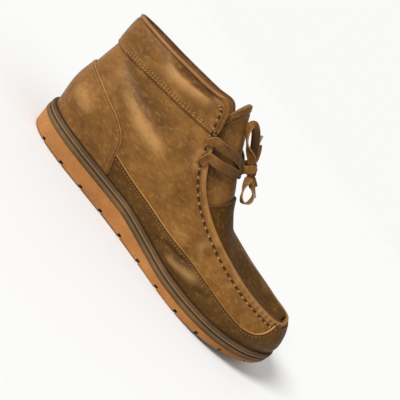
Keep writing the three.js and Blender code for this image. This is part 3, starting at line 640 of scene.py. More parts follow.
def wall_at(section, up, depth, folds=1.0):
    """A point some depth under the wall's outer form, and the height of the folds there."""
    form = wall_form(section, up)
    height = fold_height(section, form)
    calm = folds * ease(up, 0.0, 0.12)
    return form + wall_normal(section, up) * (height * calm - depth)[:, None], height * calm


edge_lengths = lengths_along(edge(fine_sections))


def along_edge(section):
    return np.interp(np.mod(section, AROUND), fine_sections, edge_lengths)


def row_of(section):
    section = np.mod(section, AROUND)
    return np.minimum(section, AROUND - section)


def below_edge(section, form):
    """Distance of a place on the wall from its upper edge, and how far along that edge it is, in mm."""
    shifts = np.linspace(-1.2, 1.2, 49)
    nearby = np.stack([np.linalg.norm(edge(section + shift) - form, axis=1) for shift in shifts])
    return np.min(nearby, axis=0), along_edge(section + shifts[np.argmin(nearby, axis=0)])


def past_cuff(section):
    """0 under the collar, and 1 in front of it."""
    return ease(row_of(section), CUFF_END, CUFF_END + RING_STEP)


def wall_top(section):
    height = edge(section)[:, 2] - foot(section)[:, 2]
    return 1 - (CUFF_RIM + 3 * GAP) / height * (1 - past_cuff(section))


SLOT_PLACE = 6.0
SLOT_PITCH = 6.5
SLOT_START = 8.3
STITCH_PITCH = 2.9
EYELETS = [(9.0, 0.845), (9.85, 0.80)]
EYELET_REACH = 2.7
INSIDE = OVERLAY + GAP + WALL
# Far enough away, in mm, for a stitch or a cut edge not to show
FAR = 50.0
outer_ups = np.concatenate([np.linspace(0, 0.8, 40), np.linspace(0.8, 1, 36)[1:]])
wall_rows = [("outer", up) for up in outer_ups] + [("lip1", 1.0), ("lip2", 1.0), ("lip3", 1.0)]
wall_rows += [("inner", up) for up in (1.0, 0.97, 0.9, 0.8, 0.65, 0.5, 0.35, 0.2, 0.1, 0.0)]
wall_rows.append(wall_rows[0])
LIP_ROWS = {"lip1": (0.14, 0.9), "lip2": (0.5, 1.5), "lip3": (0.86, 0.9)}


def wall_place(u, v):
    section = u * AROUND
    kind, share = rows_at(wall_rows, v)
    outer = kind == "outer"
    up = share * wall_top(section)
    front = past_cuff(section)
    bare = OVERLAY + GAP - RIDGE_SWELL * front * ease(share, RIDGE_START, RIDGE_FULL)
    form = wall_form(section, up)
    down, along = below_edge(section, form)
    groove = 0.55 * front * bulge(down, SLOT_PLACE, 1.3)
    depth = np.where(kind == "inner", INSIDE, bare + outer * groove)
    # Painted shade in the groove along the row of slots
    painted_shading = 0.35 * groove
    lift = np.zeros(len(section))
    for name, (across, rise) in LIP_ROWS.items():
        depth = np.where(kind == name, bare + across * (INSIDE - bare), depth)
        lift = np.where(kind == name, rise * (0.3 + 0.7 * front), lift)
    for eyelet_section, eyelet_up in EYELETS:
        for turn in (eyelet_section, AROUND - eyelet_section):
            centre = wall_form(np.array([turn]), np.array([eyelet_up]))
            punched = bulge(np.linalg.norm(form - centre, axis=1), 0, EYELET_REACH) * outer
            depth = depth + 1.3 * punched
            # Painted shade round each eyelet
            painted_shading = painted_shading + 2.4 * punched
    gathered = 0.5 * np.cos(2 * np.pi * along / SLOT_PITCH) * ease(row_of(section), 14.5, 17) * outer
    gathered = gathered * bulge(down, 2.5, 2.5)
    depth = depth - gathered
    # Painted shading on the puckers: paler on their crests, darker between them
    painted_shading = painted_shading - gathered
    points, height = wall_at(section, up, depth, np.where(kind == "inner", 0.0, 1.0))
    points[:, 2] += lift
    slots = ease(row_of(section), SLOT_START, SLOT_START + 0.2) * outer
    # A painted highlight along the rolled lip
    painted_shading = painted_shading - 0.6 * front * bulge(down, 1.5, 2.2)
    return points, {
        "edge": np.where(outer, down, 0), "cut": down, "along": along, "slots": slots,
        "stitch": np.full(len(section), FAR), "fold_and_shading": height - painted_shading}


def oiled_leather(name, rim, rim_dye, edge_shadow_strength, shade=1.0, gloss=0.16):
    """Leather with painted shade in its troughs and a paler pull-up on its ridges that is partly a painted
    highlight, with a cut edge rim mm wide and a painted shadow line beside it.
    """
    coat, tree, shader = new_coat(name, Specular_IOR_Level=gloss)
    clouds = clouded(tree, (90, 58, 20), (112, 74, 29), (134, 92, 41), 36.0, shade)
    scuffed = group_node(tree, SCUFF, {"Size": 320.0})
    lit = (1 + shade) / 2
    # Paler pull-up on the ridges, partly a painted highlight, and painted shade in the troughs
    pull_up_and_highlight = ranged(tree, mark(tree, "fold_and_shading"), 0.15, 1.5)
    painted_shading = ranged(tree, mark(tree, "fold_and_shading"), -0.15, -1.5)
    cut = line_mask(tree, mark(tree, "cut"), 0.0, rim, 0.35)
    # A painted shadow line just inside the cut edge rim
    painted_edge_shadow = line_mask(tree, mark(tree, "cut"), rim + 0.9, 0.25, 0.4)
    patchy = maths(tree, "ADD", 0.45, maths(tree, "MULTIPLY", clouds["Cloud"], 0.7))
    thread = line_mask(tree, mark(tree, "stitch"), 0.0, 0.28, 0.22)
    beat = maths(tree, "FRACT", maths(tree, "DIVIDE", mark(tree, "along"), STITCH_PITCH))
    dash = line_mask(tree, beat, 0.5, 0.28, 0.06)
    stitch = maths(tree, "MULTIPLY", thread, dash)
    hole = maths(tree, "MULTIPLY", thread, maths(tree, "SUBTRACT", 1.0, dash))
    row = line_mask(tree, mark(tree, "edge"), SLOT_PLACE, 0.85, 0.35)
    step = maths(tree, "FRACT", maths(tree, "DIVIDE", mark(tree, "along"), SLOT_PITCH))
    slot = maths(tree, "MULTIPLY", row, line_mask(tree, step, 0.5, 0.22, 0.05))
    slot = maths(tree, "MULTIPLY", slot, mark(tree, "slots"))
    tint = glazed(
        tree, clouds["Color"], (pull_up_and_highlight, 0.62, dye(188, 142, 86, lit)), (painted_shading, 0.72, dye(68, 42, 12)),
        (scuffed["Pale"], 0.55, dye(170, 125, 68, lit)), (scuffed["Deep"], 0.55, dye(72, 45, 17)),
        (cut, patchy, rim_dye), (painted_edge_shadow, edge_shadow_strength, dye(58, 36, 18)),
        (stitch, 0.5, dye(176, 134, 80, lit)), (hole, 0.6, dye(48, 29, 14)), (slot, 0.92, dye(52, 28, 10)))
    spot_at = add(tree, "ShaderNodeTexCoord").outputs["Object"]
    grain = add(tree, "ShaderNodeTexVoronoi", {"Vector": spot_at, "Scale": 1500.0}).outputs["Distance"]
    pores = noise(tree, 420.0, 6.0, 0.65)
    height = maths(tree, "ADD", maths(tree, "MULTIPLY", grain, 0.35), pores)
    height = maths(tree, "SUBTRACT", height, maths(tree, "MULTIPLY", slot, 3.5))
    height = maths(tree, "SUBTRACT", height, maths(tree, "MULTIPLY", hole, 1.6))
    height = maths(tree, "ADD", height, maths(tree, "MULTIPLY", stitch, 0.9))
    dressed(tree, shader, tint, height, 0.0003, 0.8)
    dull = ranged(tree, pores, 0.3, 0.7, 0.36, 0.56)
    dull = maths(tree, "SUBTRACT", dull, maths(tree, "MULTIPLY", pull_up_and_highlight, 0.08))
    tree.links.new(dull, shader.inputs["Roughness"])
    return coat


TAN = dye(176, 126, 70)
wall_coat = oiled_leather("oiled_leather", 0.4, dye(140, 98, 52), 0.0)
wall_sheet = laid(480, len(wall_rows) - 1, wall_place)
finished("vamp_and_quarters", wall_sheet, wall_coat, "upper")

# Upper: apron
# The plug of leather on top of the toes, sewn inside the lip of the wall and sunk under it. It is
# gathered in small puckers round the toe, and it ends in a cut edge over the tongue. Its colour is
# darkened with painted shade, most beside the lip and towards its rear end under the lacing.
CREST = np.array([
    (0.386, 1.267), (0.407, 1.187), (0.444, 1.066), (0.490, 0.929), (0.540, 0.781), (0.593, 0.609),
    (0.652, 0.498), (0.719, 0.462), (0.785, 0.432), (0.848, 0.399), (0.897, 0.366), (0.930, 0.339),
    (0.945, 0.300),
])
TONGUE_TOP = 8.0
APRON_END = 12.4
APRON_SINK = 4.2
APRON_ARC = 92
EDGE_DEPTH = OVERLAY + GAP + WALL / 2
crest_line = curve_through([
    (SOLE_LENGTH * along, 0, sole_top(SOLE_LENGTH * along) + UPPER_HEIGHT * high) for along, high in CREST])


def crown_form(section, angle):
    """A point of the crown over the foot: angle is 0 on its crest and 90 at the edges."""
    section, angle = np.broadcast_arrays(np.asarray(section, float), np.asarray(angle, float))
    outer, inner = edge(section), edge(AROUND - section)
    middle, half = (outer + inner) / 2, (inner - outer) / 2
    length = np.linalg.norm(half, axis=1, keepdims=True)
    half = half / length * np.maximum(0.5, length - EDGE_DEPTH)
    middle[:, 2] -= RIDGE
    rise = crest_line(section - TONGUE_TOP)
    rise[:, 1] = middle[:, 1]
    rise = rise - middle
    turn = np.radians(angle)[:, None]
    return middle + half * np.sin(turn) + rise * np.cos(turn)


def crown_normal(section, angle):
    place = np.clip(section, TONGUE_TOP + 0.02, TIP - 0.02)
    along = crown_form(place + 0.02, angle) - crown_form(place - 0.02, angle)
    across = crown_form(section, angle + 1) - crown_form(section, angle - 1)
    return unit(np.cross(along, across))


def crown_at(section, angle, depth):
    return crown_form(section, angle) - crown_normal(section, angle) * np.asarray(depth, float)[..., None]


# Folds of the apron in plan: width, height, places along the shoe and across it
APRON_FOLDS = [
    (6.0, -1.0, [(188, -30), (194, -12), (193, 8), (186, 28)]),
    (7.0, 0.7, [(203, -32), (208, -12), (207, 10), (201, 30)]),
    (5.0, -0.8, [(218, -30), (222, -10), (221, 12), (216, 30)]),
    (12.0, 0.9, [(242, -14), (245, 2), (242, 18)]),
]


def apron_place(u, v):
    section = APRON_END + (TIP - 0.12 - APRON_END) * (1 - v)
    angle = APRON_ARC * (2 * u - 1)
    form = crown_form(section, angle)
    height = 0.15 * np.sin(form[:, 0] / 9) * np.sin(form[:, 1] / 7 + form[:, 0] / 21)
    for width, high, line in APRON_FOLDS:
        height = height + fold_lift(form[:, :2], width, high, rounded_line(line, 5))
    side = np.where(angle < 0, section, AROUND - section)
    from_lip = np.linalg.norm(edge(side) - form, axis=1)
    wave = np.cos(2 * np.pi * along_edge(side) / SLOT_PITCH)
    height = height + 0.75 * wave * ease(section, 15.5, 17.5) * bulge(from_lip, 0, 5.5)
    sewn = -0.9 * bulge(from_lip, 0, 3.2)
    sunk = APRON_SINK * ease(section, 13.4, 15.5) * np.sin(np.radians(2 * angle)) ** 2
    points = crown_at(section, angle, sunk - height - sewn)
    rear = (section - APRON_END) * 14.0
    # Painted shade, deepest beside the lip and towards the rear end under the lacing; the sewn dip by the
    # lip and the whole apron are also painted a little darker
    shaded = 1.1 * bulge(from_lip, 0, 9) + 1.0 * (1 - ease(section, 12.5, 15.5))
    return points, {
        "edge": from_lip + 1.8, "cut": rear, "along": along_edge(side), "slots": ease(section, 13.6, 14.2),
        "stitch": rear + FAR, "fold_and_shading": height + 1.1 * sewn - 0.2 - shaded}


# A place well inside the shoe, in mm
MIDDLE = (150, 0, 45)


def sheet(name, columns, rows, place, coat, node, thickness):
    """A laid sheet with its faces turned out of the shoe, and its thickness inwards from them."""
    form = laid(columns, rows, place, closed=False)
    inside = Vector(in_row(MIDDLE))
    side = sum((face.calc_center_median() - inside).dot(face.normal) * face.calc_area()
               for face in form.faces)
    if side < 0:
        bmesh.ops.reverse_faces(form, faces=form.faces)
    piece = finished(name, form, coat, node)
    skin = piece.modifiers.new("thickness", "SOLIDIFY")
    skin.thickness = thickness / 1000
    skin.offset = -1
    skin.use_even_offset = False


# The apron's dyes darkened to 0.66 and its dark rim dye are painted shade on the sunk apron
apron_coat = oiled_leather("oiled_leather_apron", 0.5, dye(84, 56, 30), 0.3, 0.66, 0.04)
sheet("apron_plug", 150, 170, apron_place, apron_coat, "upper", WALL)

# Upper: lining
# A soft reddish-brown lining, glued inside the wall up to its lip and the rolled rim of the collar.
LINING = 0.3


def lining_place(u, v):
    section = u * AROUND
    up = (0.01 + 0.985 * v) * np.where(row_of(section) < CUFF_END, 1.0, wall_top(section))
    points, _ = wall_at(section, up, np.full(len(u), INSIDE + LINING), 0.0)
    return points, {}


lining_coat = nap_coat("soft_lining", (80, 48, 26), (116, 74, 42), (142, 96, 58), 700.0)
sheet("quarter_lining", 240, 40, lining_place, lining_coat, "upper", LINING)

# Heel counter
# A second layer of the same leather round the heel. Its front edge sweeps down to the sole, and a row of
# stitches runs inside its skived edge.
COUNTER_SEAM = [(-0.050, 0.478), (0.063, 0.456), (0.125, 0.417), (0.173, 0.387), (0.2205, 0.325),
                (0.238, 0.271), (0.252, 0.172), (0.2705, 0.058), (0.286, -0.060)]
STITCH_INSET = 2.9
COUNTER_RUN = 175.0


def side_view(table):
    return rounded_line([
        (SOLE_LENGTH * along, sole_top(SOLE_LENGTH * along) + UPPER_HEIGHT * high)
        for along, high in table], 20)


counter_line = side_view(COUNTER_SEAM)


def inside_counter(form, clear=0.0):
    """True behind and under the seam of the heel counter."""
    high = np.interp(form[:, 0] - clear, counter_line[:, 0], counter_line[:, 1])
    return (form[:, 2] < high) & (form[:, 0] - clear < counter_line[-1, 0])


def highest(test, sections, limit):
    """How far up the wall a test holds from its foot, at each section."""
    ups = np.linspace(0, limit, 600)
    reach = []
    for section in sections:
        held = test(wall_form(np.full(600, section), ups))
        reach.append(limit if held.all() else ups[np.argmin(held) - 1] if held[0] else 0.0)
    return np.array(reach)


counter_sections = np.linspace(0, 7, 281)
counter_tops, counter_ends = {}, {}
for side, turned in ((-1, counter_sections), (1, AROUND - counter_sections)):
    counter_tops[side] = highest(inside_counter, turned, 1.0)
    counter_ends[side] = counter_sections[np.flatnonzero(counter_tops[side] > 0.004)[-1]]


def panel_depth(away):
    """Depth of a layer's face near its cut edge, which is rounded and goes down to the wall."""
    near = np.clip(1 - away / 1.1, 0, 1)
    return (OVERLAY + GAP) * near ** 2.2


def counter_place(u, v):
    turn = 2 * u - 1
    side = np.where(turn < 0, 1, -1)
    end = np.where(side < 0, counter_ends[-1], counter_ends[1])
    row = end * (1 - (1 - np.abs(turn)) ** 1.35)
    top = np.where(side < 0, np.interp(row, counter_sections, counter_tops[-1]),
                   np.interp(row, counter_sections, counter_tops[1]))
    section = np.where(side < 0, row, AROUND - row)
    up = top * v
    form = wall_form(section, up)
    away, share = line_distance(form[:, [0, 2]], counter_line)
    points, height = wall_at(section, up, panel_depth(away))
    return points, {
        "cut": away, "along": share * COUNTER_RUN, "stitch": away - STITCH_INSET, "fold_and_shading": height}


panel_coat = oiled_leather("oiled_leather_panel", 0.6, TAN, 0.45)
sheet("counter_leather", 360, 70, counter_place, panel_coat, "heel_counter", OVERLAY)

# Mudguards
# Two bands of leather along the feather edge, outer and inner, sewn on with one row of stitches. They
# rise to the moccasin seam round the toe and meet in a seam down its middle.
MUDGUARD_SEAM = [
    (0.230, 0.195), (0.338, 0.157), (0.416, 0.157), (0.503, 0.183), (0.585, 0.216), (0.672, 0.206),
    (0.774, 0.166), (0.845, 0.144), (0.889, 0.171), (0.906, 0.246), (0.905, 0.420)]
MUDGUARD_RUN = 235.0
TOE_SEAM = 0.056 * BALL_WIDTH
mudguard_line = side_view(MUDGUARD_SEAM)
lower_line = mudguard_line[:np.argmax(mudguard_line[:, 0]) + 1]


def under_mudguard(form):
    high = np.interp(form[:, 0], lower_line[:, 0], lower_line[:, 1])
    return (form[:, 2] < high) | (form[:, 0] > lower_line[-1, 0])


OVERLAY_TOP = RIDGE_START - 0.02
guard_sections = np.append(np.linspace(4.5, TIP, 1200), TIP + np.linspace(0.02, 1.5, 60))
guard_ups = np.linspace(0, OVERLAY_TOP, 46)


def guard_limits(side):
    """Top of the band at each section, and at each height where it starts and where it ends."""
    turned = guard_sections if side < 0 else AROUND - guard_sections
    tops = highest(under_mudguard, turned, OVERLAY_TOP)
    starts, ends = [], []
    for up in guard_ups:
        form = wall_form(turned, np.full(len(turned), up))
        behind = inside_counter(form, GAP)
        starts.append(guard_sections[np.flatnonzero(behind)[-1]] if behind.any() else 5.0)
        past = form[:, 1] * side < (TOE_SEAM + side * GAP / 2) * side
        ends.append(guard_sections[np.flatnonzero(past & (guard_sections > TIP - 4))[0]])
    return tops, np.array(starts), np.array(ends)


def guard_place_on(side):
    tops, starts, ends = guard_limits(side)

    def place(u, v):
        spread = u + 0.055 * np.sin(2 * np.pi * u)
        row = starts[0] + (ends[0] - starts[0]) * spread
        for _ in range(8):
            up = v * np.interp(row, guard_sections, tops)
            start, end = np.interp(up, guard_ups, starts), np.interp(up, guard_ups, ends)
            row = start + (end - start) * spread
        section = row if side < 0 else AROUND - row
        form = wall_form(section, up)
        flat = form[:, [0, 2]]
        away, share = line_distance(flat, mudguard_line)
        rear, _ = line_distance(flat, counter_line)
        toe = np.abs(form[:, 1] - TOE_SEAM) + np.where(row > TIP - 3, 0.0, FAR)
        points, height = wall_at(section, up, panel_depth(np.minimum(np.minimum(away, rear), toe)))
        cut = np.minimum(away, np.minimum(toe, rear + 0.3))
        return points, {
            "cut": cut, "along": share * MUDGUARD_RUN,
            "stitch": np.minimum(away, rear + FAR) - STITCH_INSET, "fold_and_shading": height}

    return place


band_coat = oiled_leather("oiled_leather_band", 0.5, TAN, 0.5, 0.7, 0.08)
for side, node in ((-1, "mudguard_lateral"), (1, "mudguard_medial")):
    sheet(node + "_leather", 460, 44, guard_place_on(side), band_coat, node, OVERLAY)

# Collar
# A padded cuff of the same leather round the ankle, sewn to the quarters with two rows of stitches. It
# is turned over the top in a rolled rim of paler leather, and soft folds run along its front half.
CUFF_SEAM = np.array([0.711, 0.711, 0.716, 0.737, 0.764, 0.795, 0.826, 0.855, 0.878, 0.893, 0.905])
CUFF_SWELL = 1.3
CUFF_REACH = CUFF_END - 0.1
RIM_BAND = 2.2
CUFF_START = 6.8
CUFF_STITCHES = (1.9, 4.0)
cuff_rows = [("outer", share) for share in np.linspace(0, 1, 44)]
cuff_rows += [("roll", share) for share in (0.15, 0.3, 0.45, 0.6, 0.75, 0.9)]
cuff_rows += [("inner", share) for share in (0.0, 0.5, 1.0)]
cuff_rows += [("back", share) for share in (0.0, 0.35, 0.7, 1.0)]
cuff_rows.append(cuff_rows[0])


def cuff_seam(section):
    """Where the cuff's lower seam and its rim lie, as shares of the wall's height."""
    base, top = foot(section), edge(section)
    tall = top[:, 2] - base[:, 2]
    rim = 1 - CUFF_RIM / tall
    high = np.interp(row_of(section), np.arange(11), CUFF_SEAM)
    seam = (sole_top(base[:, 0]) + UPPER_HEIGHT * high - base[:, 2]) / tall
    return np.minimum(seam, rim - 0.004), rim


def cuff_swell(seam, share):
    return CUFF_SWELL * np.sin(np.pi * np.clip(share, 0, 1)) * np.minimum(1, (1 - seam) / 0.2)


def rounded_off(points, middle, ended, power):
    """Draws the end of a piece in to its middle line, where ended goes from 0 to 1."""
    return middle + (points - middle) * np.sqrt(np.maximum(0, 1 - ended ** power))[:, None]


def cuff_place(u, v):
    turn = (2 * u - 1) * CUFF_REACH
    section = np.mod(turn, AROUND)
    kind, share = rows_at(cuff_rows, v)
    outer, rolled, inner = kind == "outer", kind == "roll", kind == "inner"
    seam, rim = cuff_seam(section)
    up = np.select(
        [outer, rolled, inner], [seam + (1 - seam) * share, 1.0, 1 + (rim - 1) * share],
        rim + (seam - rim) * share)
    form = wall_form(section, up)
    down, along = below_edge(section, form)
    above = np.linalg.norm(form - wall_form(section, seam), axis=1)
    swell = cuff_swell(seam, share) - 0.75 * bulge(down, RIM_BAND + 0.5, 0.9)
    swell = swell - 0.9 * bulge(above, 0, 0.8) - 0.45 * bulge(above, 2.9, 0.7)
    roll = np.pi * share
    turned_over = INSIDE / 2 * (1 - np.cos(roll))
    depth = np.select([outer, rolled, inner], [-swell, turned_over, INSIDE], OVERLAY - 0.2)
    points, height = wall_at(section, up, depth, np.where(outer | rolled, 1.0, 0.0))
    points[:, 2] += np.where(rolled, 1.3 * np.sin(roll), 0)
    middle, _ = wall_at(section, (seam + 1) / 2, np.full(len(u), 0.9))
    ended = np.clip((np.abs(turn) - CUFF_REACH + 0.22) / 0.22, 0, 1)
    points = rounded_off(points, middle, ended, 4)
    from_heel = np.minimum(along, edge_lengths[-1] - along)
    slots = ease(from_heel, along_edge(CUFF_START), along_edge(CUFF_START) + 1.0) * outer
    stitch = np.min([np.abs(above - row) for row in CUFF_STITCHES], axis=0) + np.where(outer, 0, FAR)
    cut = np.select([outer, rolled], [down, -6 * share], -FAR) + 9 * ease(row_of(section), 6.4, 7.6)
    # Painted shade in the trough under the rolled rim and over the turned-in inside of the collar
    turned_in = np.select([outer, rolled], [0, ease(share, 0.25, 0.5)], 1)
    return points, {
        "edge": np.where(outer, down, 0), "cut": cut, "along": along, "slots": slots, "stitch": stitch,
        "fold_and_shading": height - 0.9 * bulge(down, RIM_BAND + 0.5, 1.0) - 1.5 * turned_in}


cuff_coat = oiled_leather("oiled_leather_collar", 1.1, dye(146, 98, 52), 0.6)
cuff_form = laid(420, len(cuff_rows) - 1, cuff_place)
collar = finished("padded_cuff", cuff_form, cuff_coat, "collar")

# Tongue
# A half-pipe of leather under the lacing, padded at its top, with a stitched band across that top.
TONGUE_WALL = 2.4
TONGUE_PAD = 2.6
TONGUE_FOOT = 13.0
TONGUE_BAND = 7.5
TONGUE_STITCH = 6.2
TONGUE_ARC = 96
tongue_rows = [("outer", share) for share in np.linspace(0, 1, 60)]
tongue_rows += [("inner", share) for share in np.linspace(1, 0, 30)]
tongue_rows.append(tongue_rows[0])


def tongue_place(u, v):
    section = TONGUE_TOP + (TONGUE_FOOT - TONGUE_TOP) * u
    kind, share = rows_at(tongue_rows, v)
    outer = kind == "outer"
    angle = TONGUE_ARC * (2 * share - 1)
    pad = TONGUE_PAD * (1 - ease(section, TONGUE_TOP + 0.4, TONGUE_TOP + 1.5))
    crest = crown_form(section, 0 * section)
    from_top = np.linalg.norm(crest - crest_line(np.zeros(len(u))), axis=1)
    band = 0.6 * bulge(from_top, TONGUE_BAND, 1.1)
    fold_and_shading = 0.5 * np.sin(section * 2.6 + 0.6) * np.cos(np.radians(angle)) * ease(section, 8.6, 9.6)
    fold_and_shading = fold_and_shading + 0.25 * np.sin(angle / 13 + section)
    depth = WALL + 2 * GAP + np.where(outer, band - fold_and_shading, TONGUE_WALL + pad)
    points = crown_at(section, angle, depth)
    middle = crown_at(section, angle, WALL + 2 * GAP + (TONGUE_WALL + pad) / 2)
    ended = np.clip(1 - u / 0.035, 0, 1) + np.clip((u - 0.98) / 0.02, 0, 1)
    points = rounded_off(points, middle, ended, 2)
    # Painted shade over the whole tongue, deeper down its sides and along the sunk stitched band; its folds
    # get painted shading too
    shaded = 0.35 + 0.5 * ease(np.abs(angle), 35, 70)
    return points, {
        "cut": np.where(outer, from_top, -FAR), "along": angle * 0.42,
        "stitch": from_top - TONGUE_STITCH + np.where(outer, 0, FAR), "fold_and_shading": fold_and_shading * 1.4 - band - shaded}


tongue_coat = oiled_leather("oiled_leather_tongue", 0.7, dye(122, 82, 42), 0.3)
tongue_form = laid(150, len(tongue_rows) - 1, tongue_place)
tongue = finished("tongue_leather", tongue_form, tongue_coat, "tongue")

# Moccasin thread
# Short bits of light waxed thread show between the slots of the seam, on the wall and the collar.
THREAD_PLACE = SLOT_PLACE + 0.5
thread_coat, tree, shader = new_coat("waxed_thread", Roughness=0.55, Specular_IOR_Level=0.4)
clouds = clouded(tree, (128, 88, 46), (164, 120, 72), (194, 150, 98), 120.0)
dressed(tree, shader, clouds["Color"], noise(tree, 2500.0, 5.0, 0.7), 0.0002, 0.8)

# The line that the threads lie on is searched for, by halving the share of the wall that it can lie in
thread_form = bmesh.new()
line_sections = np.linspace(6.6, AROUND - 6.6, 1200)
line_low, line_high = np.full(1200, 0.3), np.ones(1200)
for _ in range(13):
    line_up = (line_low + line_high) / 2
    down, line_along = below_edge(line_sections, wall_form(line_sections, line_up))
    line_low = np.where(down > THREAD_PLACE, line_up, line_low)
    line_high = np.where(down > THREAD_PLACE, line_high, line_up)
beats = np.arange(math.ceil(edge_lengths[-1] / SLOT_PITCH)) * SLOT_PITCH
beats = beats[(beats > along_edge(CUFF_START)) & (beats < edge_lengths[-1] - along_edge(CUFF_START))]
for beat in beats + 0.5 * np.sin(beats):
    section = np.interp(beat, line_along, line_sections)
    up = np.interp(beat, line_along, line_up)
    here, _ = wall_at(np.array([section]), np.array([up]), np.array([0.0]))
    normal = wall_normal(np.array([section]), np.array([up]))[0]
    seam = cuff_seam(np.array([section]))[0][0]
    on_collar = row_of(section) < CUFF_REACH and up > seam
    surface = -cuff_swell(seam, (up - seam) / (1 - seam)) if on_collar else OVERLAY + GAP + 0.25
    ahead = unit(edge(section + 0.02) - edge(section - 0.02))
    across = unit(np.cross(normal, ahead))
    turned = Matrix((Vector(ahead), Vector(across), Vector(normal))).transposed().to_4x4()
    spot = Matrix.Translation(Vector(in_row(here[0] - normal * surface)))
    size = Matrix.Diagonal((0.0012, 0.0007, 0.0006, 1))
    bmesh.ops.create_icosphere(thread_form, subdivisions=1, radius=1, matrix=spot @ turned @ size)
finished("moccasin_thread", thread_form, thread_coat, None)

# Lace: bars
# A flat tan-brown cotton lace, about 8 mm wide. It comes up through two punched eyelets a side, and both
# crossings meet under the knot. On the inside it runs from the lower eyelet to the upper one.
LACE_WIDTH = 7.8
LACE_THICKNESS = 1.5
# Half width of the braid's pattern; the painted highlight along the band's edges starts at 3 mm
BRAID_HALF = 3.5
LOWER_BAR = [("wall", 9.95, 0.83, -0.2), ("wall", 10.3, 0.95, 1.2), ("crown", 10.75, -74, 4.6),
             ("crown", 11.1, -52, 2.4), ("crown", 11.35, -26, 0.0), ("crown", 11.45, 0, -0.9)]
UPPER_BAR = [("wall", 9.1, 0.87, -0.2), ("wall", 9.5, 0.96, 2.2), ("crown", 9.95, -76, 5.2),
             ("crown", 10.4, -54, 3.2), ("crown", 10.85, -28, 1.0), ("crown", 11.3, 0, 0.2)]


def lace_stop(stop, side):
    """Place and outward direction of one stop of the lace, on either side of the shoe."""
    kind, section, at, lift = stop
    form, normal = (wall_form, wall_normal) if kind == "wall" else (crown_form, crown_normal)
    if side > 0:
        section, at = (AROUND - section, at) if kind == "wall" else (section, -at)
    section, at = np.array([float(section)]), np.array([float(at)])
    return form(section, at)[0] + normal(section, at)[0] * lift, normal(section, at)[0]


def squared_off(value, power):
    """Draws a round section out towards its corners: the smaller the power, the squarer it is."""
    return np.sign(value) * np.abs(value) ** power


def band_form(points, faces_to, width, thickness, steps, tuck=(), shaded=0.0):
    """A woven band along points; faces_to gives the way its flat side looks, tuck where it is gathered."""
    path, look = curve_through(points), curve_through(faces_to)
    last = len(points) - 1
    steps_at = np.linspace(0, last, steps + 1)
    lengths = lengths_along(path(steps_at))

    def place(u, v):
        at = u * last
        along = unit(path(np.minimum(at + 0.02, last)) - path(np.maximum(at - 0.02, 0)))
        across = unit(np.cross(look(at), along))
        out_way = np.cross(along, across)
        gathered = np.zeros(len(u))
        for place_at, reach in tuck:
            gathered = np.maximum(gathered, bulge(at, place_at, reach))
        half = width / 2 * (1 - 0.42 * gathered)
        thick = thickness / 2 * (1 + 0.35 * gathered)
        flat_x = squared_off(np.cos(2 * np.pi * v), 0.6)
        flat_y = squared_off(np.sin(2 * np.pi * v), 0.35)
        ends = np.minimum(1, np.sqrt(np.maximum(0, np.minimum(u, 1 - u) / 0.012)))
        points_at = path(at) + across * (half * flat_x * ends)[:, None]
        return points_at + out_way * (thick * flat_y * ends)[:, None], {
            "run": np.interp(at, steps_at, lengths), "side": flat_x * BRAID_HALF,
            "shaded": np.interp(at, np.arange(last + 1), np.broadcast_to(shaded, last + 1))}

    return laid(steps, 20, place)


def joined(forms):
    whole = bmesh.new()
    for form in forms:
        part = bpy.data.meshes.new("part")
        form.to_mesh(part)
        whole.from_mesh(part)
        bpy.data.meshes.remove(part)
        form.free()
    return whole


cotton_coat, tree, shader = new_coat(
    "flat_cotton_lace", Roughness=0.9, Specular_IOR_Level=0.15, Sheen_Weight=0.05,
    Sheen_Roughness=0.5)
clouds = clouded(tree, (84, 54, 22), (126, 84, 36), (160, 114, 56), 130.0)
run, across = mark(tree, "run"), mark(tree, "side")
strands = [maths(tree, "SINE", maths(tree, "MULTIPLY", maths(tree, slant, run, across), 5.2))
           for slant in ("ADD", "SUBTRACT")]
braid = maths(tree, "MULTIPLY", maths(tree, "MAXIMUM", *strands), 0.5)
# Painted highlight along the narrow edges of the band
painted_edge_highlight = ranged(tree, maths(tree, "ABSOLUTE", across), 3.0, 3.4)
tint = glazed(
    tree, clouds["Color"], (mark(tree, "shaded"), 0.85, dye(58, 38, 18)), (painted_edge_highlight, 0.6, dye(170, 128, 78)),
    (maths(tree, "SUBTRACT", 0.5, braid), 0.4, dye(58, 36, 18)))
fuzz = maths(tree, "MULTIPLY", noise(tree, 1800.0, 5.0, 0.7), 0.5)
dressed(tree, shader, tint, maths(tree, "ADD", braid, fuzz), 0.0004, 0.8)

lace_forms = []
for eyelet, route in zip(reversed(EYELETS), (LOWER_BAR, UPPER_BAR)):
    stops, looks = [], []
    for side in (-1, 1):
        hole = [("wall", *eyelet, -5.2), ("wall", *eyelet, -1.6)]
        half = [lace_stop(stop, side) for stop in hole + (route if side < 0 else route[:-1])]
        places = [place for place, _ in half]
        normals = [half[2][1]] * 2 + [normal for _, normal in half[2:]]
        if side > 0:
            places, normals = places[::-1], normals[::-1]
        stops += places
        looks += normals
    last = len(stops) - 1
    shaded = 0.7 * np.sin(np.pi * np.arange(last + 1) / last) ** 2
    lace_forms.append(band_form(
        stops, looks, LACE_WIDTH, LACE_THICKNESS, 130, [(0.5, 0.7), (last - 0.5, 0.7)], shaded))
(upper_at, upper_up), (lower_at, lower_up) = EYELETS
inner_run = [("wall", lower_at, lower_up, -3.0), ("wall", lower_at - 0.1, lower_up + 0.01, -5.6),
             ("wall", (lower_at + upper_at) / 2, 0.825, -6.0), ("wall", upper_at + 0.1, upper_up, -5.6),
             ("wall", upper_at, upper_up, -3.0)]
for side in (-1, 1):
    both = [lace_stop(stop, side) for stop in inner_run]
    lace_forms.append(band_form([p for p, _ in both], [n for _, n in both], 5.0, LACE_THICKNESS, 40))
